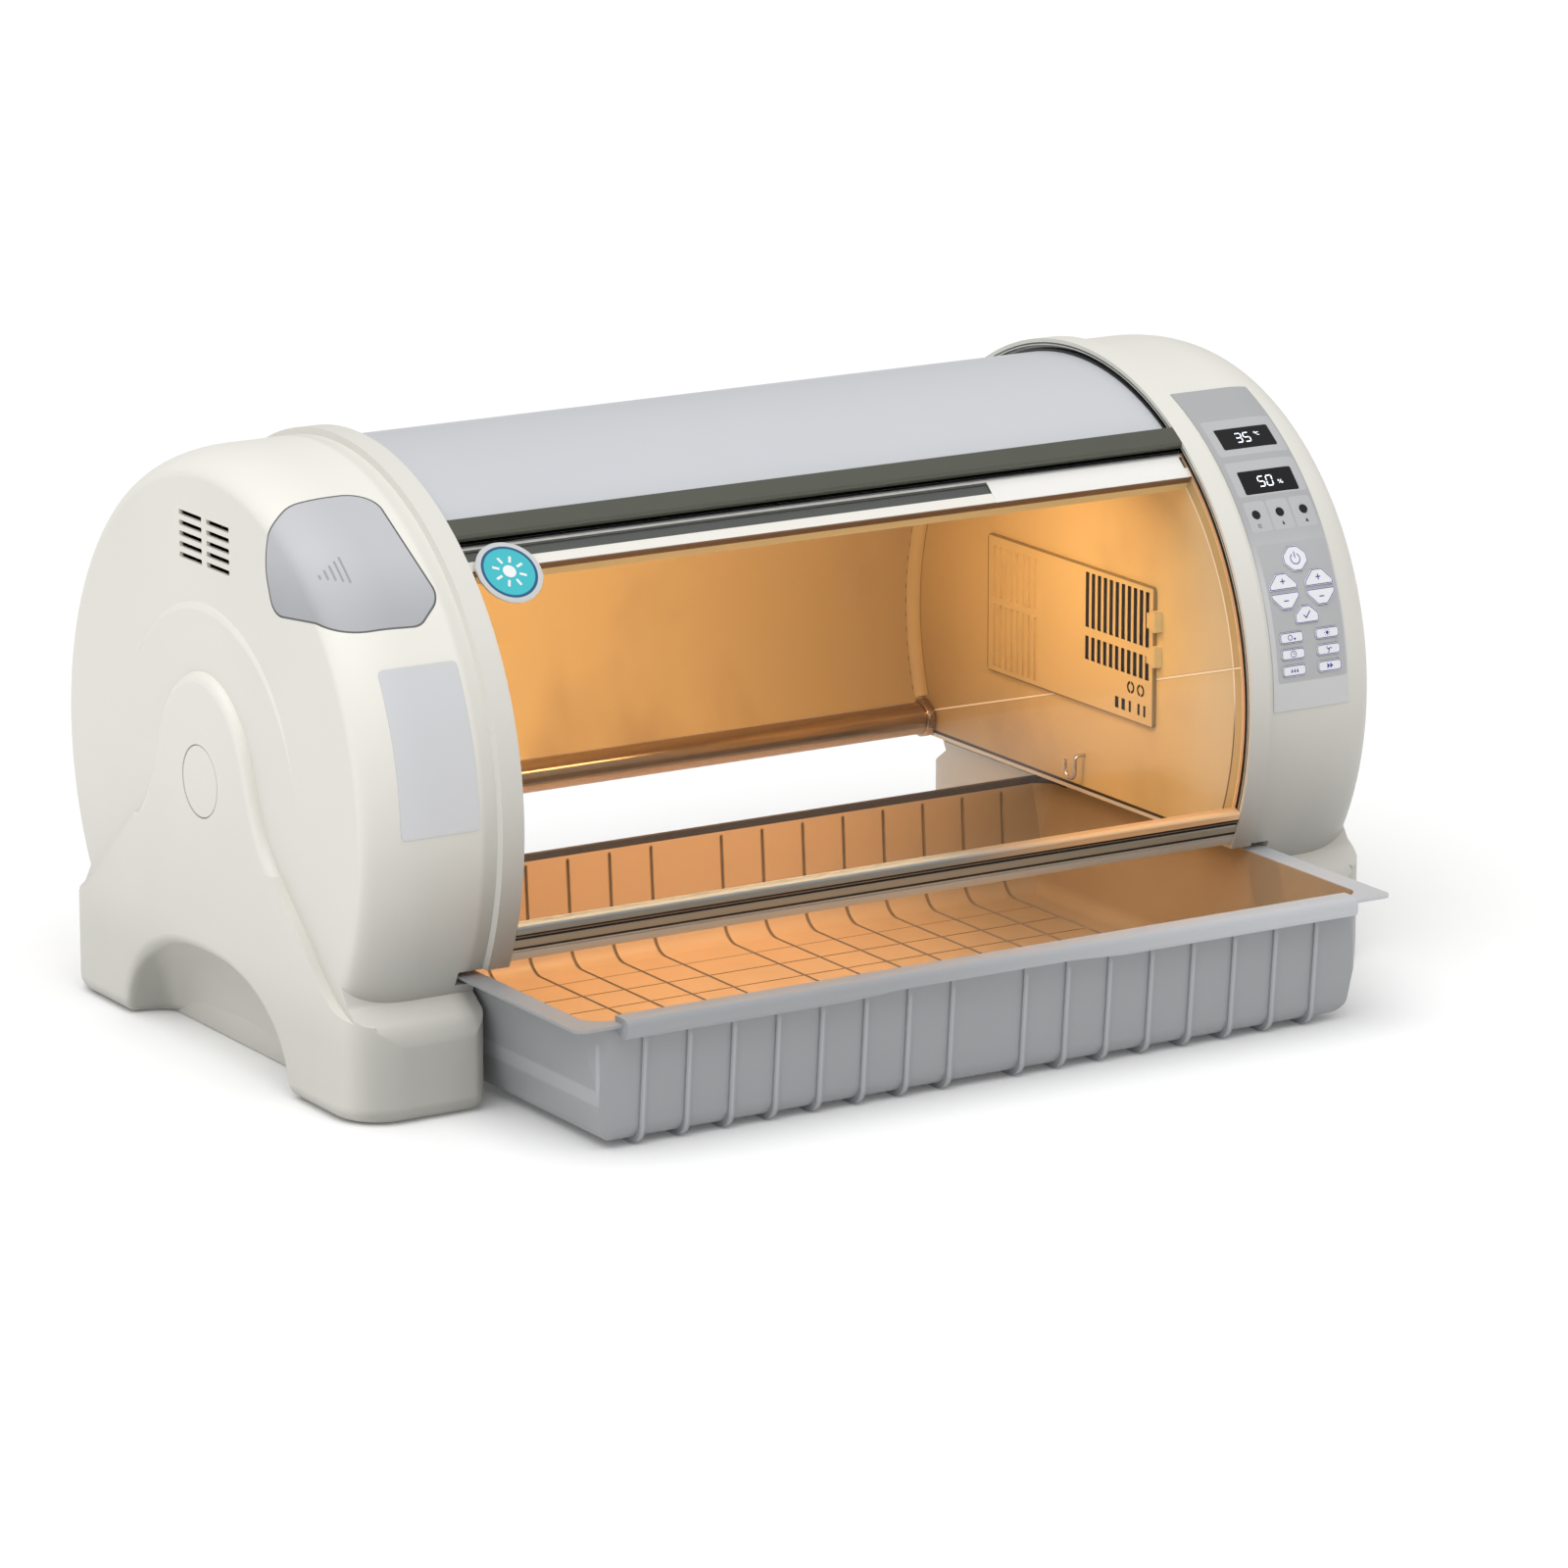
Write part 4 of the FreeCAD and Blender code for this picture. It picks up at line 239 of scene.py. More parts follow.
class Finish:
    """One material: a Principled shader and the nodes that feed it."""

    def __init__(self, name, **sockets):
        self.material = bpy.data.materials.new(name)
        self.material.use_nodes = True
        self.nodes = self.material.node_tree.nodes
        self.links = self.material.node_tree.links
        self.shader = self.nodes["Principled BSDF"]
        self.coordinates = self.nodes.new("ShaderNodeTexCoord")
        for socket, value in sockets.items():
            self.set(socket.replace("_", " "), value)

    def set(self, socket, value):
        """Gives a shader socket a number, a colour, or another node's output."""
        found = next(s for s in self.shader.inputs if s.name.lower() == socket.lower())
        self.feed(found, value)

    def feed(self, socket, value):
        """Gives a node's socket a value or a link."""
        if isinstance(value, bpy.types.NodeSocket):
            self.links.new(value, socket)
        elif hasattr(value, "__len__") and len(value) == 3 and len(socket.default_value) == 4:
            socket.default_value = (*value, 1.0)
        else:
            socket.default_value = value

    def node(self, kind, inputs, output=0, **settings):
        """Adds a node with its settings and inputs, and gives one of its outputs."""
        node = self.nodes.new(kind)
        for name, value in settings.items():
            setattr(node, name, value)
        for socket, value in inputs.items():
            self.feed(node.inputs[socket], value)
        return node.outputs[output]

    def place(self):
        """The point on the piece, in metres."""
        return self.coordinates.outputs["Object"]

    def stretched(self, scale):
        """The point on the piece with each axis scaled."""
        return self.node("ShaderNodeMapping", {"Vector": self.place(), "Scale": scale})

    def noise(self, scale, detail=2.0, roughness=0.5, vector=None):
        """A cloudy value from 0 to 1, with scale in clouds per metre."""
        return self.node("ShaderNodeTexNoise", {
            "Vector": vector or self.place(), "Scale": scale, "Detail": detail, "Roughness": roughness}, "Fac")

    def streak(self, lines=1500.0):
        """Fine lines along X, from 0 to 1."""
        return self.noise(1.0, vector=self.stretched((3.0, lines, lines)))

    def part(self, point, name):
        """One coordinate of a point."""
        return self.node("ShaderNodeSeparateXYZ", {0: point}, name)

    def axis(self, name):
        """One coordinate of the point on the piece."""
        return self.part(self.place(), name)

    def facing(self, name):
        """One coordinate of the surface's direction."""
        return self.part(self.coordinates.outputs["Normal"], name)

    def span(self, value, low, high, to_low=0.0, to_high=1.0):
        """A value mapped smoothly and clamped from one range to another."""
        return self.node("ShaderNodeMapRange", {
            "Value": value, "From Min": low, "From Max": high, "To Min": to_low, "To Max": to_high},
            "Result", interpolation_type="SMOOTHSTEP")

    def fall(self, value, low, high, top=1.0):
        """A value mapped smoothly from top at low down to 0 at high."""
        return self.span(value, low, high, top, 0.0)

    def between(self, value, low, high):
        """1 between two soft edges, else 0; each edge is where its change starts and ends."""
        return self.times(self.span(value, *low), self.fall(value, *high))

    def uneven(self, cloud, low, high):
        """A cloudy value mapped so that it runs from low to high."""
        return self.span(cloud, 0.3, 0.7, low, high)

    def maths(self, operation, first, second=0.0):
        """Arithmetic on two values."""
        return self.node("ShaderNodeMath", {0: first, 1: second}, operation=operation)

    def times(self, first, *others):
        """The product of all values."""
        for value in others:
            first = self.maths("MULTIPLY", first, value)
        return first

    def plus(self, first, *others):
        """The sum of all values."""
        for value in others:
            first = self.maths("ADD", first, value)
        return first

    def minus(self, first, second):
        """The first value less the second."""
        return self.maths("SUBTRACT", first, second)

    def size(self, value):
        """A value without its sign."""
        return self.maths("ABSOLUTE", value)

    def blend(self, share, first, second):
        """A colour between two colours."""
        return self.node("ShaderNodeMix", {"Factor": share, 6: first, 7: second}, 2, data_type="RGBA")

    def varied(self, share, colour, darkest, lightest):
        """A colour that gets lighter with the share, between two shades of it."""
        return self.blend(share, shade(colour, darkest), shade(colour, lightest))

    def join(self, x, y, z=0.0):
        """A point made of three values."""
        return self.node("ShaderNodeCombineXYZ", {0: x, 1: y, 2: z})

    def vector(self, operation, first, second=(0.0, 0.0, 0.0), output="Vector"):
        """Arithmetic on two points."""
        return self.node("ShaderNodeVectorMath", {0: first, 1: second}, output, operation=operation)

    def rise(self):
        """The height above the drum's axis."""
        return self.minus(self.axis("Z"), AXIS_HEIGHT)

    def reach(self):
        """The distance from the drum's axis."""
        return self.vector("LENGTH", self.join(0.0, self.axis("Y"), self.rise()), output="Value")

    def turn(self):
        """The way round the drum from the front horizontal, in radians."""
        return self.maths("ARCTAN2", self.rise(), self.times(self.axis("Y"), -1.0))

    def angle(self):
        """The way round the drum from the front horizontal, in degrees."""
        return self.maths("DIVIDE", self.turn(), math.radians(1))

    def around_drum(self):
        """The point unrolled: x, and the way round the drum, both in metres."""
        return self.join(self.axis("X"), self.times(self.turn(), PANEL_RADIUS))

    def area(self, place, span_x, angles):
        """1 inside a printed area with round corners, given in millimetres and degrees, else 0."""
        low, high = [math.radians(angle) * PANEL_RADIUS for angle in angles]
        x0, x1 = span_x[0] * MM, span_x[1] * MM
        centre = ((x0 + x1) / 2, (low + high) / 2, 0.0)
        half = ((x1 - x0) / 2 - PLATE_CORNER, (high - low) / 2 - PLATE_CORNER, 1.0)
        apart = self.vector("ABSOLUTE", self.vector("SUBTRACT", place, centre))
        beyond = self.vector("MAXIMUM", self.vector("SUBTRACT", apart, half))
        reach = self.vector("LENGTH", beyond, output="Value")
        return self.fall(reach, PLATE_CORNER, PLATE_CORNER + PLATE_EDGE)

    def every(self, value, first, pitch, half_width):
        """1 on lines that repeat along a value, else 0, in metres."""
        share = self.maths("DIVIDE", self.minus(value, first), pitch)
        offset = self.size(self.minus(share, self.maths("ROUND", share)))
        return self.fall(offset, half_width / pitch * 0.8, half_width / pitch * 1.3)

    def bump(self, height, strength, depth=0.0001):
        """Relief on the surface, with its depth in metres."""
        self.set("Normal", self.node("ShaderNodeBump", {
            "Strength": strength, "Distance": depth, "Height": height}))

    def done(self, colour, grain=None, relief=0.08):
        """Sets the colour and, where given, a fine grain; returns the material."""
        self.set("Base Color", colour)
        if grain:
            self.bump(self.noise(grain), relief)
        return self.material


def shade(colour, factor):
    """A darker or lighter version of a colour."""
    return tuple(min(1.0, part * factor) for part in colour)


def moulded(name, colour, roughness=0.4, grain=900.0, relief=0.12, mottle=0.04, darker=None, **sockets):
    """Moulded plastic: soft colour drift, a fine grain and slightly uneven gloss.

    darker is (height, height, share): painted shade, so that below the first height the colour has only that
    share.
    """
    finish = Finish(name, **sockets)
    tone = finish.varied(finish.noise(5.0, 3.0), colour, 1 - mottle, 1 + mottle)
    if darker:
        low, high, share = darker
        tone = finish.blend(finish.fall(finish.axis("Z"), low, high), tone, shade(colour, share))
    finish.set("Roughness", finish.uneven(finish.noise(40.0), roughness * 0.93, roughness * 1.07))
    return finish.done(tone, grain, relief)


def cream_housing(colour):
    """Cream moulding with painted shade low down, in front and below, with a fine line round the hub caps."""
    finish = Finish("moulded_cream", roughness=0.42)
    along, height = finish.axis("X"), finish.axis("Z")
    # Painted shade: darker low down, on faces turned to the front or down, everywhere but the left end face
    # and a little towards +X; drift is random tone.
    front = finish.fall(finish.facing("Y"), -0.95, -0.35, 0.40)
    low = finish.plus(
        finish.fall(height, 0.02, 0.27, 0.24),
        finish.times(front, finish.span(height, 0.03, 0.40, 1.0, 0.25)),
        finish.span(along, -0.352, -0.346, 0.0, 0.20),
        finish.fall(height, 0.05, 0.10, 0.12))
    low = finish.times(low, finish.span(along, 0.0, 0.2, 1.0, 0.72))
    under = finish.fall(finish.facing("Z"), -0.75, 0.35, 0.4)
    right = finish.times(finish.span(along, -0.2, 0.4, 0.0, 0.05), finish.fall(height, 0.20, 0.40))
    drift = finish.uneven(finish.noise(5.0, 3.0), 0.0, 0.06)
    shaded = finish.blend(finish.plus(low, under, right, drift), colour, shade(colour, 0.42))
    ring = finish.times(finish.between(finish.reach(), *HUB_LINE),
                        finish.span(finish.size(along), 0.446, 0.447), 0.6)
    return finish.done(finish.blend(ring, shaded, shade(colour, 0.12)), 900.0, 0.1)


def banded_bar(name, colour, bands, under=None, **sockets):
    """A bar along X with coloured bands, and another colour on its underside, which on the roof bar is painted
    lamp light.
    """
    finish = Finish(name, **sockets)
    along = finish.span(finish.axis("X"), *BAR_TURN)
    way = finish.angle()

    def tone(paint, share=1.0):
        """One colour, or two that change along the bar."""
        if isinstance(paint, list):
            return finish.blend(along, *(shade(end, share) for end in paint))
        return shade(paint, share)

    mixed = finish.blend(finish.streak(1200.0), tone(colour, 0.95), tone(colour, 1.03))
    for low, high, paint in bands:
        edges = ((edge - BAND_SOFTNESS, edge + BAND_SOFTNESS) for edge in (low, high))
        inside = finish.between(way, *edges)
        mixed = finish.blend(inside, mixed, tone(paint))
    if under:
        inside = finish.times(finish.fall(way, *ROOF_BAR_FRONT_EDGE),
                              finish.fall(finish.reach(), *BAR_UNDERSIDE))
        mixed = finish.blend(inside, mixed, under)
    return finish.done(mixed)


def track_finish():
    """Door track: dark olive outside with a painted highlight line, black over the roof, and before it painted
    lamp light in tan, with a painted highlight along its inner edge.
    """
    finish = Finish("door_track", roughness=0.35)
    reach = finish.reach()
    before = finish.times(finish.fall(finish.axis("Z"), 0.395, 0.402),
                          finish.fall(finish.axis("Y"), -0.02, 0.02))
    # Before the roof: painted lamp light in tan, a painted highlight line at the inner edge and a dark line at
    # the rim.
    inner = finish.blend(before, (0.012, 0.012, 0.012), (0.80, 0.52, 0.29))
    line = finish.times(finish.fall(reach, *TRACK_INNER_LINE), before)
    inner = finish.blend(line, inner, (0.95, 0.88, 0.74))
    line = finish.times(finish.span(reach, *TRACK_RIM), before)
    inner = finish.blend(line, inner, (0.05, 0.035, 0.02))
    # The bright band outside is a painted highlight, with dark olive at the outer edge.
    outer = finish.blend(finish.span(reach, *TRACK_OUTER_LINE), (0.60, 0.60, 0.57), (0.085, 0.09, 0.07))
    colour = finish.blend(finish.span(reach, *TRACK_STEP), inner, outer)
    wear = finish.uneven(finish.noise(60.0), 0.0, 0.08)
    return finish.done(finish.blend(wear, colour, (0, 0, 0)))


def drawn_metal(name, colour, roughness=0.28):
    """A drawn metal bar: fine lines along X that change its gloss."""
    finish = Finish(name, metallic=1.0)
    streak = finish.streak()
    finish.set("Roughness", finish.uneven(streak, roughness * 0.8, roughness * 1.2))
    finish.bump(streak, 0.08, 0.00005)
    return finish.done(finish.varied(streak, colour, 0.92, 1.06))


def rear_rail_finish(metal, lit_below):
    """Polished tube with a painted warm reflection in its metal colour, whose underside shows the warm light
    that falls on it as painted light.
    """
    finish = Finish("rear_rail_metal", metallic=0.85)
    below = (finish.facing("Z"), -0.55, -0.30)
    finish.set("Roughness", finish.span(*below, 0.6, 0.18))
    tube = finish.varied(finish.streak(), metal, 0.92, 1.06)
    return finish.done(finish.blend(finish.fall(*below), tube, lit_below))


def lining_edge_finish(warm, dark):
    """Rounded strip in the cabin's corner in painted lamp light with painted shade clouds, and a fine line of
    painted shade along both of its edges.
    """
    finish = Finish("lining_edge", roughness=0.4)
    places = ((finish.reach(), LINER_RADIUS - EDGE_STRIP),
              (finish.size(finish.axis("X")), RIM_X - EDGE_STRIP))
    # Painted shade in the creases along both edges of the strip.
    lines = finish.maths(
        "MAXIMUM", *(finish.fall(value, start + 0.0004, start + 0.0012) for value, start in places))
    cloud = finish.span(finish.noise(9.0, 3.0), 0.35, 0.75, 0.0, 0.35)
    strip = finish.blend(cloud, finish.blend(0.6, warm, dark), dark)
    return finish.done(finish.blend(lines, strip, shade(dark, 0.45)), 700.0)


def tray_finish(grey, warm, shaded):
    """Grey plastic with a painted highlight on each rib crest and on the lip outside; inside the bowl, painted
    lamp light with painted shade towards +X, in each groove and along the back edge.
    """
    finish = Finish("tray_two_sided")
    drift = finish.noise(6.0, 3.0)
    x, y, z = (finish.axis(name) for name in "XYZ")
    side = finish.size(x)
    outward = finish.vector("SUBTRACT", finish.place(), TRAY_MIDDLE)
    turned_in = finish.vector("DOT_PRODUCT", outward, finish.coordinates.outputs["Normal"], "Value")
    flank = finish.fall(finish.size(finish.facing("X")), 0.70, 0.75)
    within = finish.times(
        finish.fall(turned_in, -0.004, 0.004),
        finish.maths("MAXIMUM", flank, finish.span(side, 0.304, 0.306)),
        finish.span(y, *TRAY_FRONT), finish.span(z, *TRAY_FLOOR),
        finish.fall(y, *TRAY_BACK), finish.fall(side, *TRAY_SIDE), finish.fall(z, *TRAY_RIM))
    # Painted shade: brown lines along each rib groove and the floor's cross lines, on the painted lamp light.
    grooves = finish.times(finish.every(side, *TRAY_RIBS, 0.0015), finish.fall(z, 0.088, 0.092))
    lines = finish.times(finish.every(y, *TRAY_CROSS_LINES, 0.0009), finish.fall(z, 0.0078, 0.0082))
    drawn = finish.times(finish.maths("MAXIMUM", grooves, lines), finish.fall(side, 0.293, 0.295), 0.8)
    # Painted lamp light inside the bowl, with more painted shade towards +X.
    lit = finish.plus(finish.span(x, 0.05, 0.33, 0.0, 0.75), finish.span(drift, 0.45, 0.75, 0.0, 0.16))
    glow = finish.blend(drawn, finish.blend(lit, warm, shaded), GROOVE_SHADE)
    # Painted highlight on the crest of each rib outside.
    crests = finish.times(finish.every(side, *TRAY_RIBS, 0.0010), finish.fall(z, 0.078, 0.084, 0.5))
    # Painted highlight on the lip, brighter towards +X.
    lip = finish.times(finish.span(x, -0.15, 0.33), finish.span(z, 0.0885, 0.0895))
    skin = finish.varied(drift, grey, 0.97, 1.04)
    skin = finish.blend(crests, skin, shade(grey, 1.5))
    skin = finish.blend(lip, skin, shade(grey, 1.55))
    # Painted shadow along the top of the tray's back edge.
    back_shadow = finish.times(finish.span(y, 0.026, 0.028), finish.span(z, 0.0930, 0.0936))
    finish.set("Roughness", finish.uneven(finish.noise(40.0), 0.36, 0.44))
    return finish.done(finish.blend(back_shadow, finish.blend(within, skin, glow), TRAY_BACK_SHADOW), 900.0, 0.1)


def panel_finish(grey, plate, keypad):
    """Printed front plate: darker rounded plates behind the displays, the lamps and the keys."""
    finish = Finish("panel_print", roughness=0.45)
    place = finish.around_drum()
    colour = finish.varied(finish.noise(8.0), grey, 0.985, 1.015)
    colour = finish.blend(finish.span(finish.axis("Z"), 0.30, 0.36, 0.0, 0.8), colour, shade(grey, 0.64))
    for bounds in DISPLAY_AND_LAMP_PLATES:
        colour = finish.blend(finish.area(place, *bounds), colour, plate)
    colour = finish.blend(finish.area(place, *KEY_PLATE), colour, keypad)
    return finish.done(colour, 1200.0, 0.05)


def badge_finish(colours, centre):
    """Round badge: a teal face, a thin navy ring and a silver rim."""
    finish = Finish("badge_print", roughness=0.28)
    reach = finish.vector("DISTANCE", finish.place(), centre, "Value")
    face = finish.varied(finish.noise(20.0), colours.badge_teal, 0.94, 1.06)
    ringed = finish.blend(finish.span(reach, *BADGE_RING), face, colours.badge_navy)
    finish.set("Metallic", finish.span(reach, *BADGE_RIM, 0.0, 0.6))
    return finish.done(finish.blend(finish.span(reach, *BADGE_RIM), ringed, SILVER))


def clear_sheet_finish():
    """Clear sheet, seen most where it turns away, with a dark line along its top edge."""
    finish = Finish("clear_sheet", metallic=1.0)
    turned_away = finish.node("ShaderNodeLayerWeight", {}, "Facing")
    seen = finish.span(turned_away, 0.30, 1.0, 0.014, 0.55)
    top_line = finish.span(finish.angle(), *SHEET_TOP_LINE)
    finish.set("Alpha", finish.maths("MAXIMUM", seen, top_line))
    finish.set("Roughness", finish.uneven(finish.noise(9.0), 0.03, 0.06))
    return finish.done(finish.blend(top_line, CLEAR, BLACK))


def lit_panel(name, colour, dark, pale, seam=False, slots=False, rim=None):
    """White end panel as the warm lamp shows it: paler at the front, darker at the back.

    The seam is a painted highlight, a fine light line with painted shade round it, that rises towards the
    front; the lower edge is dark.
    The sides of the front slots get painted shade, and so does what lies behind them.
    A rim is a fine dark line just inside the box of the node that it names.
    """
    finish = Finish(name, roughness=0.4)
    cloud = finish.noise(6.0, 3.0, 0.55)
    depth, height = finish.axis("Y"), finish.axis("Z")
    share = finish.plus(
        finish.span(depth, -0.06, 0.24, 0.0, 0.55), finish.span(cloud, 0.48, 0.78, 0.0, 0.3),
        finish.span(height, 0.10, 0.27, 0.38, 0.05))
    lit = finish.blend(finish.fall(depth, -0.22, -0.13, 0.75), finish.blend(share, colour, dark), pale)
    if seam:
        reach = finish.reach()
        # A darker band along the panel's rim, and a line at its inner edge that is a painted highlight above
        # the axis and painted shade below it.
        ring = finish.times(finish.span(reach, *PANEL_EDGE[1]), finish.fall(depth, -0.03, 0.0))
        lit = finish.blend(ring, lit, shade(colour, 0.72))
        ring = finish.times(finish.between(reach, *PANEL_EDGE), finish.fall(depth, -0.06, -0.03))
        edge_tone = finish.blend(finish.span(height, 0.19, 0.23), shade(dark, 0.3), LIT_EDGE)
        lit = finish.blend(ring, lit, edge_tone)
        # The seam: a painted highlight with painted shade round it.
        rise = finish.times(finish.minus(SEAM_BACK[0], depth), SEAM_SLOPE)
        apart = finish.size(finish.minus(finish.minus(height, SEAM_BACK[1]), rise))
        lit = finish.blend(finish.fall(apart, 0.0010, 0.0016, 0.5), lit, shade(dark, 0.6))
        lit = finish.blend(finish.fall(apart, 0.0006, 0.0010), lit, LIT_SEAM)
        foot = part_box("right_end_panel")[0][2]
        lit = finish.blend(finish.fall(height, foot + 0.0022, foot + 0.0028), lit, FOOT_LINE)
    # Painted shade on the sides of the front slots and on what lies behind them.
    back, front, low, high = SLOT_BLOCK
    open_part = finish.times(finish.between(depth, (back, back + MM), (front - MM, front)),
                             finish.between(height, (low, low + MM), (high - MM, high)))
    if slots:
        open_part = finish.times(open_part, finish.fall(finish.size(finish.facing("X")), 0.5, 0.7))
    lit = finish.blend(open_part, lit, SLOT_SHADE)
    if rim:
        start, end = (Vector(corner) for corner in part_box(rim))
        middle, half = (start + end) / 2, (end - start) / 2
        for value, centre, edge in ((depth, middle.y, half.y), (height, middle.z, half.z)):
            apart = finish.size(finish.minus(value, centre))
            line = finish.span(apart, edge - 0.0016, edge - 0.0010, 0.0, 0.75)
            lit = finish.blend(line, lit, shade(dark, 0.35))
    return finish.done(lit, 700.0)


def lit_lining(name, colour, dark, light_end, dark_end):
    """White lining as the warm lamp shows it: bright towards one end, with soft clouds."""
    finish = Finish(name)
    cloud = finish.noise(7.0, 3.0, 0.55, finish.stretched((1.0, 0.6, 0.6)))
    share = finish.plus(finish.span(finish.axis("X"), light_end, dark_end, 0.0, 0.8),
                        finish.span(cloud, 0.48, 0.78, 0.0, 0.45))
    finish.set("Roughness", finish.uneven(cloud, 0.34, 0.44))
    return finish.done(finish.blend(share, colour, dark), 700.0)


def dress(nodes, material):
    """Gives one finish to each of the named nodes."""
    for node in nodes:
        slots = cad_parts[node].data.materials
        slots.clear()
        slots.append(material)


class Sign:
    """A flat print made of bars, discs and rings, laid on a node where it faces out of the drum."""

    def __init__(self, node, x, angle):
        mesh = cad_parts[node].data
        self.surface = BVHTree.FromPolygons(
            [vertex.co.copy() for vertex in mesh.vertices], [tuple(face.vertices) for face in mesh.polygons])
        self.away = out_of_drum(angle)
        self.up = Vector((0, self.away.z, -self.away.y))
        self.start = Vector((x * MM, 0, AXIS_HEIGHT)) + self.away * CAST_START
        self.points = []
        self.faces = []

    def fill(self, outline):
        """A filled outline of (along, up) points in millimetres."""
        first = len(self.points)
        for along, rise in outline:
            start = self.start + Vector((along * MM, 0, 0)) + self.up * (rise * MM)
            point = self.surface.ray_cast(start, -self.away)[0]
            if point is None:
                raise ValueError("a sign misses the surface that it should lie on")
            self.points.append(point + self.away * PRINT_LIFT)
        self.faces.append(tuple(range(first, len(self.points))))

    def bar(self, start, end, width):
        """A straight stroke, in short lengths that follow the surface."""
        start, end = Vector(start), Vector(end)
        run = end - start
        side = Vector((-run.y, run.x)).normalized() * (width / 2)
        count = math.ceil(run.length / 3.0)
        for index in range(count):
            first, last = start + run * index / count, start + run * (index + 1) / count
            self.fill([first - side, last - side, last + side, first + side])

    def disc(self, centre, radius, count=20):
        """A filled round dot."""
        turns = [2 * math.pi * index / count for index in range(count)]
        self.fill([(centre[0] + radius * math.cos(t), centre[1] + radius * math.sin(t)) for t in turns])

    def ring(self, centre, radius, width, first=0.0, last=360.0, count=28):
        """A round stroke from one angle to another."""
        for index in range(count):
            corners = []
            for step, reach in ((0, radius - width / 2), (0, radius + width / 2),
                                (1, radius + width / 2), (1, radius - width / 2)):
                turn = math.radians(first + (last - first) * (index + step) / count)
                corners.append((centre[0] + reach * math.cos(turn), centre[1] + reach * math.sin(turn)))
            self.fill(corners)

    def make(self, name, material, body):
        """Makes the print, a piece that rides on a body."""
        link_mesh(name, self.points, self.faces, material, body)


def edge_line(name, node, away, flat, material, body):
    """A thin line along the edge of a node's outward faces, which look along away.

    On a flat node only its outermost faces count, and the line keeps a little inside their edge.
    """
    facing, inset, width = (0.99, 0.00035, 0.0006) if flat else (0.25, 0.0, 0.0010)
    form = bmesh.new()
    form.from_mesh(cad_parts[node].data)
    bmesh.ops.remove_doubles(form, verts=form.verts, dist=0.000005)
    spare = [face for face in form.faces if face.normal.dot(away) < facing]
    bmesh.ops.delete(form, geom=spare, context="FACES")
    if flat:
        far = max(face.calc_center_median().dot(away) for face in form.faces)
        spare = [face for face in form.faces if face.calc_center_median().dot(away) < far - 0.0002]
        bmesh.ops.delete(form, geom=spare, context="FACES")
        bmesh.ops.dissolve_faces(form, faces=form.faces, use_verts=False)
    inner = list(form.faces)
    if inset:
        bmesh.ops.inset_region(form, faces=inner, thickness=inset, use_even_offset=flat, use_boundary=True)
        kept = set(inner)
        bmesh.ops.delete(form, geom=[face for face in form.faces if face not in kept], context="FACES")
    bmesh.ops.inset_region(form, faces=inner, thickness=width, use_even_offset=flat, use_boundary=True)
    bmesh.ops.delete(form, geom=inner, context="FACES")
    form.normal_update()
    form.verts.index_update()
    points = [vertex.co + vertex.normal * PRINT_LIFT for vertex in form.verts]
    faces = [[vertex.index for vertex in face.verts] for face in form.faces]
    form.free()
    link_mesh(name, points, faces, material, body)


def out_of_drum(angle):
    """The direction straight out of the drum at an angle above the front horizontal."""
    turn = math.radians(angle)
    return Vector((0, -math.cos(turn), math.sin(turn)))


def draw_key_sign(sign, key):
    """A generic sign for what a key does, in millimetres about the key's middle."""
    if key == "power_key":
        sign.ring((0, -0.3), 4.2, 0.8, 120, 420)
        sign.bar((0, 0.2), (0, 5.4), 0.8)
    elif key.endswith("_up_key"):
        sign.bar((-2.2, 7.6), (2.2, 7.6), 0.9)
        sign.bar((0, 5.4), (0, 9.8), 0.9)
    elif key.endswith("_down_key"):
        sign.bar((-2.2, -7.6), (2.2, -7.6), 0.9)
    elif key == "set_key":
        sign.bar((-3.0, 0.4), (-0.6, -2.4), 0.9)
        sign.bar((-0.9, -2.3), (3.4, 3.0), 0.9)
    elif key == "oxygen_key":
        sign.ring((-1.6, 0), 1.9, 0.6)
        sign.disc((2.6, -1.2), 0.9)
    elif key == "lamp_key":
        sign.disc((0, 0), 1.3)
        for index in range(8):
            turn = math.radians(45 * index)
            sign.bar((1.9 * math.cos(turn), 1.9 * math.sin(turn)),
                     (2.9 * math.cos(turn), 2.9 * math.sin(turn)), 0.45)
    elif key == "timer_key":
        sign.ring((0, 0), 2.5, 0.55)
        sign.bar((0, 0), (0, 1.8), 0.5)
        sign.bar((0, 0), (1.3, 0), 0.5)
    elif key == "fan_key":
        sign.disc((0, 0), 0.7)
        for index in range(3):
            turn = 2.094 * index
            start = 120 * index
            sign.ring((1.6 * math.cos(turn), 1.6 * math.sin(turn)), 1.0, 0.6, start, start + 200, 12)
    elif key == "nebuliser_key":
        for along in (-2.6, 0, 2.6):
            sign.disc((along, -0.7), 0.85)
            sign.fill([(along - 0.7, -0.3), (along + 0.7, -0.3), (along, 1.9)])
    else:
        sign.fill([(-2.6, -2.2), (0.2, 0), (-2.6, 2.2)])
        sign.fill([(0.2, -2.2), (3.0, 0), (0.2, 2.2)])


def draw_figures(sign, figures):
    """Seven-segment figures that lean a little, side by side."""
    (left, low), (width, height) = FIGURE_START, FIGURE_SIZE
    for index, figure in enumerate(figures):
        for segment in FIGURES[figure]:
            ends = []
            for share_x, share_y in SEGMENTS[segment]:
                lean = share_y * height * FIGURE_LEAN
                along = left + index * width * FIGURE_PITCH + share_x * width + lean
                ends.append((along, low + share_y * height))
            sign.bar(*ends, FIGURE_STROKE)


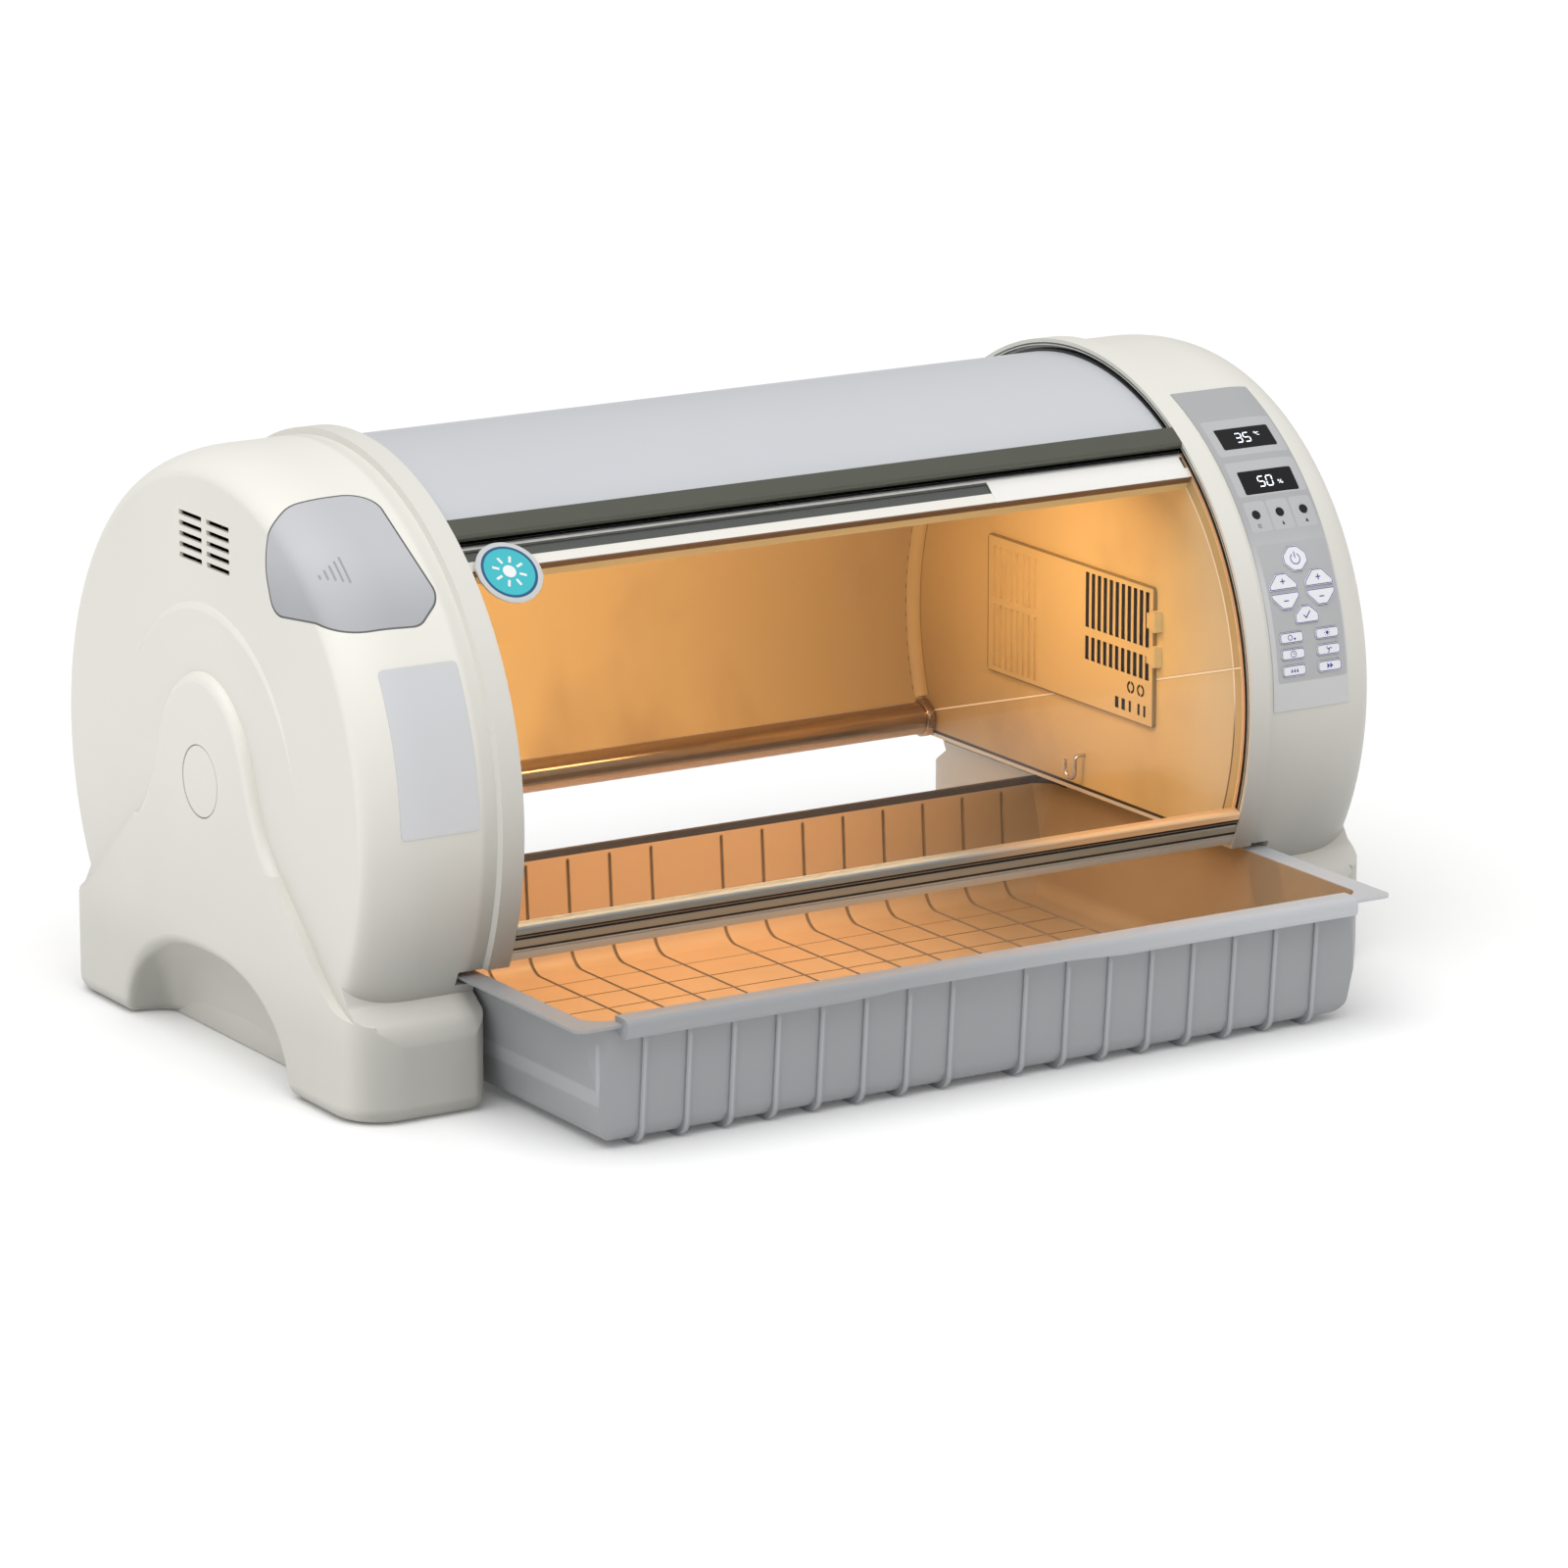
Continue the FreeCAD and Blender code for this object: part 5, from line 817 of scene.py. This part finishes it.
def link_mesh(name, points, faces, material, body):
    """Makes a piece from points and faces, and lets it ride on a body."""
    mesh = bpy.data.meshes.new(name)
    mesh.from_pydata(points, [], faces)
    mesh.update()
    piece = bpy.data.objects.new(name, mesh)
    bpy.context.scene.collection.objects.link(piece)
    mesh.materials.append(material)
    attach(piece, body)
    return piece


def turned(name, outline, start_x, side, centre, angles, count, material, body):
    """A piece turned about a line along X: outline points are (distance from start_x, radius)."""
    closed = angles[1] - angles[0] == 360
    rows = count if closed else count + 1
    points = []
    for row in range(rows):
        turn = math.radians(angles[0] + (angles[1] - angles[0]) * row / count)
        for along, radius in outline:
            points.append((start_x + side * along, centre[0] - radius * math.cos(turn),
                           centre[1] + radius * math.sin(turn)))
    width = len(outline)
    faces = []
    for row in range(count):
        first, last = row * width, (row + 1) % rows * width
        for step in range(width - 1):
            face = (first + step, last + step, last + step + 1, first + step + 1)
            faces.append(face if side < 0 else face[::-1])
    piece = link_mesh(name, points, faces, material, body)
    for face in piece.data.polygons:
        face.use_smooth = True


def light(name, place, target, sizes, power, colour=(1, 1, 1)):
    """An area light that looks at a point and isn't seen itself."""
    data = bpy.data.lights.new(name, "AREA")
    data.shape = "RECTANGLE"
    data.size, data.size_y = sizes
    data.energy = power
    data.color = colour
    lamp = bpy.data.objects.new(name, data)
    lamp.location = place
    lamp.rotation_euler = (Vector(target) - Vector(place)).to_track_quat("-Z", "Y").to_euler()
    lamp.visible_camera = False
    bpy.context.scene.collection.objects.link(lamp)


class BROODER_OT_housings(Operator):
    """Cream moulded end housings and their hub caps"""

    bl_idname = "brooder.housings"
    bl_label = "End housings"

    def execute(self, context):
        cream = context.scene.brooder_finishes.cream
        dress(["left_housing", "right_housing", "hub_caps"], cream_housing(cream))
        return {"FINISHED"}


class BROODER_OT_access_cover(Operator):
    """Pale grey access cover"""

    bl_idname = "brooder.access_cover"
    bl_label = "Access cover"

    def execute(self, context):
        grey = context.scene.brooder_finishes.cover_grey
        # Painted shade on the lower part of the cover.
        dress(["access_cover"], moulded("cover_grey", grey, 0.46, darker=(0.355, 0.410, 0.78)))
        line = moulded("cover_joint", shade(grey, 0.22), 0.6)
        away = Vector(COVER_DIRECTION).normalized()
        edge_line("cover_edge_line", "access_cover", away, False, line, "access_cover")
        arrow = Sign("access_cover", *COVER_ARROW)
        for index in range(5):
            tall = 4.0 + 5.0 * index
            arrow.bar((1 + 4.6 * index, -tall / 2), (1 + 4.6 * index, tall / 2), 1.7)
        ink = moulded("cover_print", shade(grey, 0.62), 0.5)
        arrow.make("cover_arrow", ink, "access_cover")
        return {"FINISHED"}


class BROODER_OT_roof(Operator):
    """Roof shell with its front bar and bare white strip"""

    bl_idname = "brooder.roof"
    bl_label = "Roof"

    def execute(self, context):
        colours = context.scene.brooder_finishes
        dress(["roof_shell"], moulded("roof_grey", colours.roof_grey, 0.34, 600.0, 0.05, 0.02))
        # The roof bar's underside gets painted warm lamp light.
        dress(["roof_front_bar"], banded_bar(
            "roof_bar_white", ROOF_BAR, ROOF_BAR_BANDS, shade(colours.cabin_lamp_lit, 0.95), roughness=0.4))
        dress(["name_strip"], moulded("bare_white_strip", (0.90, 0.89, 0.86), 0.3, 500.0, 0.04, 0.01))
        return {"FINISHED"}


class BROODER_OT_door(Operator):
    """Clear door with its two bars and round badge"""

    bl_idname = "brooder.door"
    bl_label = "Sliding door"

    def execute(self, context):
        colours = context.scene.brooder_finishes
        dress(["door_sheet"], clear_sheet_finish())
        dress(["door_handle_bar"], moulded("satin_olive", colours.bar_olive, 0.36, 1200.0, 0.1, 0.03))
        dress(["door_bottom_bar"], banded_bar(
            "bottom_bar_metal", BOTTOM_BAR, BOTTOM_BAR_BANDS, roughness=0.3, metallic=0.35))
        low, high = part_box("door_badge")
        centre = (Vector(low) + Vector(high)) / 2
        dress(["door_badge"], badge_finish(colours, tuple(centre)))
        print_white = moulded("badge_print_white", (0.85, 0.87, 0.87), 0.3, 500.0, 0.02, 0.01)
        rays = Sign("door_badge", BADGE_X, BADGE_ANGLE)
        rays.disc((0, 0), 5.2, 32)
        for index in range(8):
            turn = math.radians(45 * index + 22.5)
            along, rise = math.cos(turn), math.sin(turn)
            rays.bar((7.8 * along, 7.8 * rise), (13.4 * along, 13.4 * rise), 2.0)
        rays.make("badge_rays", print_white, "door")
        return {"FINISHED"}


class BROODER_OT_tracks(Operator):
    """Dark curved tracks of the door, and the sill and rear rails"""

    bl_idname = "brooder.tracks"
    bl_label = "Tracks and rails"

    def execute(self, context):
        bright = context.scene.brooder_finishes.bar_bright
        dress(["right_door_track", "left_door_track"], track_finish())
        dress(["front_sill_rail"], banded_bar(
            "sill_metal", bright, SILL_BANDS, roughness=0.32, metallic=0.35))
        # The tube's warm brown metal colour is a painted reflection of the lamp-lit cabin.
        tube = rear_rail_finish((0.38, 0.28, 0.18), (0.62, 0.43, 0.29))
        dress(["rear_rail"], tube)
        low, high = (Vector(corner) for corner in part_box("rear_rail"))
        middle = (low + high) / 2
        bore = (high.z - low.z) / 2 + 0.00005
        outline = [(0, bore), (0, bore + COLLAR_WALL * 0.6), (COLLAR_WALL * 0.4, bore + COLLAR_WALL),
                   (COLLAR_LENGTH - COLLAR_WALL * 0.4, bore + COLLAR_WALL),
                   (COLLAR_LENGTH, bore + COLLAR_WALL * 0.6), (COLLAR_LENGTH, bore)]
        for name, side in (("right", 1), ("left", -1)):
            turned(name + "_rail_collar", outline, side * (RIM_X - COLLAR_LENGTH - 0.0006), side,
                   (middle.y, middle.z), (0, 360), 48, tube, "root")
        return {"FINISHED"}


class BROODER_OT_cabin(Operator):
    """Lining, end panels, grille and fittings of the cabin, in painted warm lamp light"""

    bl_idname = "brooder.cabin"
    bl_label = "Cabin"

    def execute(self, context):
        colours = context.scene.brooder_finishes
        warm = colours.cabin_lamp_lit
        dark = colours.cabin_shade
        dress(["roof_liner"], lit_lining("lining_warm", warm, dark, -0.30, 0.34))
        dress(["right_end_panel", "left_end_panel"],
              lit_panel("end_panel_warm", warm, dark, colours.cabin_front_light, True))
        dress(["air_grille"], lit_panel(
            "grille_warm", warm, dark, colours.cabin_front_light, slots=True, rim="air_grille"))
        dress(["grille_clips", "mist_outlet", "lamp_holders"],
              lit_panel("fittings_warm", warm, dark, colours.cabin_front_light, slots=True))
        # The duct behind the grille is painted near black as painted shade seen through the slots.
        dress(["air_duct"], moulded("duct_painted_shade", (0.06, 0.04, 0.025), 0.6))
        strip = lining_edge_finish(warm, dark)
        steps = [math.radians(90 * index / 8) for index in range(9)]
        outline = [(EDGE_STRIP * math.cos(step), LINER_RADIUS - EDGE_STRIP * (1 - math.sin(step)))
                   for step in steps]
        for name, side in (("right", 1), ("left", -1)):
            turned(name + "_lining_edge", outline, side * (RIM_X - EDGE_STRIP), side, (0.0, AXIS_HEIGHT),
                   LINER_ANGLES, 90, strip, "root")
        glow = Finish("lamp_glow", base_color=(1.0, 0.72, 0.42), roughness=0.3,
                      emission_color=(1.0, 0.62, 0.28), emission_strength=6.0)
        dress(["lamp_tube"], glow.material)
        dress(["probe_hook"], drawn_metal("hook_wire", (0.6, 0.6, 0.6), 0.25))
        return {"FINISHED"}


class BROODER_OT_tray(Operator):
    """Ribbed draw-out tray and the runners that carry it"""

    bl_idname = "brooder.tray"
    bl_label = "Tray"

    def execute(self, context):
        colours = context.scene.brooder_finishes
        dress(["tray"], tray_finish(colours.tray_grey, colours.tray_lamp_lit, colours.tray_shade))
        dress(["tray_runners"], moulded("runner_white", (0.8, 0.8, 0.78), 0.5))
        return {"FINISHED"}


class BROODER_OT_controls(Operator):
    """Front plate, displays, lamps and keys of the control panel"""

    bl_idname = "brooder.controls"
    bl_label = "Control panel"

    def execute(self, context):
        colours = context.scene.brooder_finishes
        grey = colours.panel_grey
        dress(["control_overlay"], panel_finish(grey, shade(grey, 0.84), shade(grey, 0.78)))
        dress(["label_plate"], moulded("label_grey", colours.label_grey, 0.45, 1200.0, 0.06, 0.02))
        dress(["temperature_display", "humidity_display"],
              moulded("display_black", (0.004, 0.004, 0.005), 0.12, 300.0, 0.01, 0.1))
        dress(["indicator_lamps"], moulded("lamp_lens_black", (0.01, 0.01, 0.01), 0.15, 300.0, 0.01, 0.1))
        dress(KEYS, moulded("key_white", (0.80, 0.80, 0.83), 0.35, 900.0, 0.05, 0.01))
        blue = moulded("sign_blue", colours.sign_blue, 0.4, 900.0, 0.02, 0.05)
        for key, (x, angle) in KEYS.items():
            edge_line(key + "_outline", key, out_of_drum(angle), True, blue, key)
            sign = Sign(key, x, angle)
            draw_key_sign(sign, key)
            sign.make(key + "_sign", blue, key)
        lit = Finish("figure_glow", base_color=(0.8, 0.85, 0.9), roughness=0.4,
                     emission_color=(0.8, 0.88, 1.0), emission_strength=1.1)
        lit.bump(lit.noise(300.0), 0.02)
        for node, (angle, figures, unit) in DISPLAYS.items():
            sign = Sign(node, DISPLAY_X, angle)
            draw_figures(sign, figures)
            if unit == "degree":
                sign.ring((10.0, 3.4), 0.8, 0.4)
                sign.ring((12.6, 2.2), 1.4, 0.5, 50, 310)
            else:
                sign.bar((9.0, -3.6), (11.8, -0.4), 0.5)
                sign.ring((9.1, -1.0), 0.65, 0.4)
                sign.ring((11.7, -3.0), 0.65, 0.4)
            sign.make(node.replace("display", "figures"), lit.material, "root")
        ink = moulded("sign_ink", (0.03, 0.03, 0.035), 0.5, 900.0, 0.02, 0.05)
        sign = Sign("control_overlay", *LAMP_SIGNS)
        sign.ring((-22, 0), 1.5, 0.45, 20, 340)
        sign.disc((-22, 0), 0.5)
        sign.disc((0, -0.4), 1.0)
        sign.fill([(-0.8, 0), (0.8, 0), (0, 2.4)])
        sign.fill([(20.4, -1.2), (23.6, -1.2), (22, 2.0)])
        sign.make("lamp_signs", ink, "root")
        return {"FINISHED"}


class BROODER_OT_inner_parts(Operator):
    """Parts inside the housings and fittings on the back"""

    bl_idname = "brooder.inner_parts"
    bl_label = "Inner and rear parts"

    def execute(self, context):
        dress(["rubber_feet", "key_mat"], moulded("dark_rubber", (0.02, 0.02, 0.02), 0.7, 400.0, 0.3, 0.1))
        dress(["housing_screws"], drawn_metal("screw_steel", (0.55, 0.55, 0.55), 0.3))
        dress(["control_board"], moulded("board_green", (0.02, 0.16, 0.06), 0.4))
        dress(["mains_inlet", "mains_switch_frame", "mains_switch_rocker", "fan_frame", "fan_rotor",
               "atomiser"], moulded("moulded_black", (0.018, 0.018, 0.018), 0.45, 800.0, 0.15, 0.1))
        dress(["power_supply", "heater_element"], drawn_metal("sheet_metal", (0.62, 0.63, 0.64), 0.35))
        dress(["filter_pad"], moulded("filter_fleece", (0.75, 0.74, 0.68), 0.9, 500.0, 0.8, 0.08))
        dress(["water_bottle"], moulded("bottle_plastic", (0.72, 0.80, 0.85), 0.25))
        dress(["bottle_cradle"], moulded("cradle_white", (0.80, 0.78, 0.72), 0.45))
        return {"FINISHED"}


class BROODER_OT_stage(Operator):
    """Floor, lights and camera of the studio"""

    bl_idname = "brooder.stage"
    bl_label = "Studio"

    def execute(self, context):
        scene = context.scene
        powers = scene.brooder_studio
        world = bpy.data.worlds.new("pale_surround")
        scene.world = world
        world.use_nodes = True
        background = world.node_tree.nodes["Background"]
        background.inputs["Color"].default_value = (1, 1, 1, 1)
        background.inputs["Strength"].default_value = powers.surround
        scene.view_settings.view_transform = "Standard"
        paper = Finish("pale_floor", roughness=0.9, emission_color=(1.0, 1.0, 1.0), emission_strength=0.06)
        paper.set("Base Color", paper.blend(paper.noise(2.0), (0.93, 0.93, 0.93), (0.95, 0.95, 0.95)))
        corners = [(x * FLOOR_REACH, y * FLOOR_REACH, 0) for x, y in ((-1, -1), (1, -1), (1, 1), (-1, 1))]
        mesh = bpy.data.meshes.new("floor")
        mesh.from_pydata(corners, [], [(0, 1, 2, 3)])
        floor = bpy.data.objects.new("floor", mesh)
        scene.collection.objects.link(floor)
        mesh.materials.append(paper.material)
        light("key_light", *KEY_LIGHT, powers.key)
        sky = bpy.data.lights.new("sky_light", "SUN")
        sky.energy = powers.sky
        sky.angle = math.radians(SKY_SPREAD)
        lamp = bpy.data.objects.new("sky_light", sky)
        lamp.rotation_euler = Vector(SKY_DIRECTION).to_track_quat("-Z", "Y").to_euler()
        scene.collection.objects.link(lamp)
        light("cabin_light", *CABIN_LIGHT, powers.cabin, CABIN_LIGHT_COLOUR)
        view = scene.brooder_view
        flat = math.cos(view.elevation)
        back = Vector((math.sin(view.azimuth) * flat, -math.cos(view.azimuth) * flat,
                       math.sin(view.elevation)))
        data = bpy.data.cameras.new("camera")
        data.sensor_width = 36.0
        data.lens = view.lens
        data.clip_end = 100.0
        camera = bpy.data.objects.new("camera", data)
        camera.location = Vector(view.target) + back * view.distance
        camera.rotation_mode = "QUATERNION"
        camera.rotation_quaternion = (-back).to_track_quat("-Z", "Y")
        scene.collection.objects.link(camera)
        scene.camera = camera
        return {"FINISHED"}


STEPS = [
    BROODER_OT_housings, BROODER_OT_access_cover, BROODER_OT_roof, BROODER_OT_door, BROODER_OT_tracks,
    BROODER_OT_cabin, BROODER_OT_tray, BROODER_OT_controls, BROODER_OT_inner_parts, BROODER_OT_stage,
]


class BROODER_PT_sidebar(Panel):
    """Lists the brooder's steps and colours."""

    bl_idname = "BROODER_PT_sidebar"
    bl_label = "Pet brooder"
    bl_space_type = "VIEW_3D"
    bl_region_type = "UI"
    bl_category = "Brooder"

    def draw(self, context):
        scene = context.scene
        for group in (scene.brooder_finishes, scene.brooder_studio, scene.brooder_view):
            box = self.layout.box()
            for name in group.__annotations__:
                box.prop(group, name)
        for step in STEPS:
            self.layout.operator(step.bl_idname)


GROUPS = {"brooder_finishes": BrooderFinishes, "brooder_view": BrooderView, "brooder_studio": BrooderStudio}


def register():
    for kind in [*GROUPS.values(), *STEPS, BROODER_PT_sidebar]:
        bpy.utils.register_class(kind)
    for name, group in GROUPS.items():
        setattr(bpy.types.Scene, name, PointerProperty(type=group))


def unregister():
    for name in GROUPS:
        delattr(bpy.types.Scene, name)
    for kind in [BROODER_PT_sidebar, *reversed(STEPS), *GROUPS.values()]:
        bpy.utils.unregister_class(kind)


def main():
    register()
    for step in STEPS:
        family, name = step.bl_idname.split(".")
        getattr(getattr(bpy.ops, family), name)()


if __name__ == "__main__":
    main()
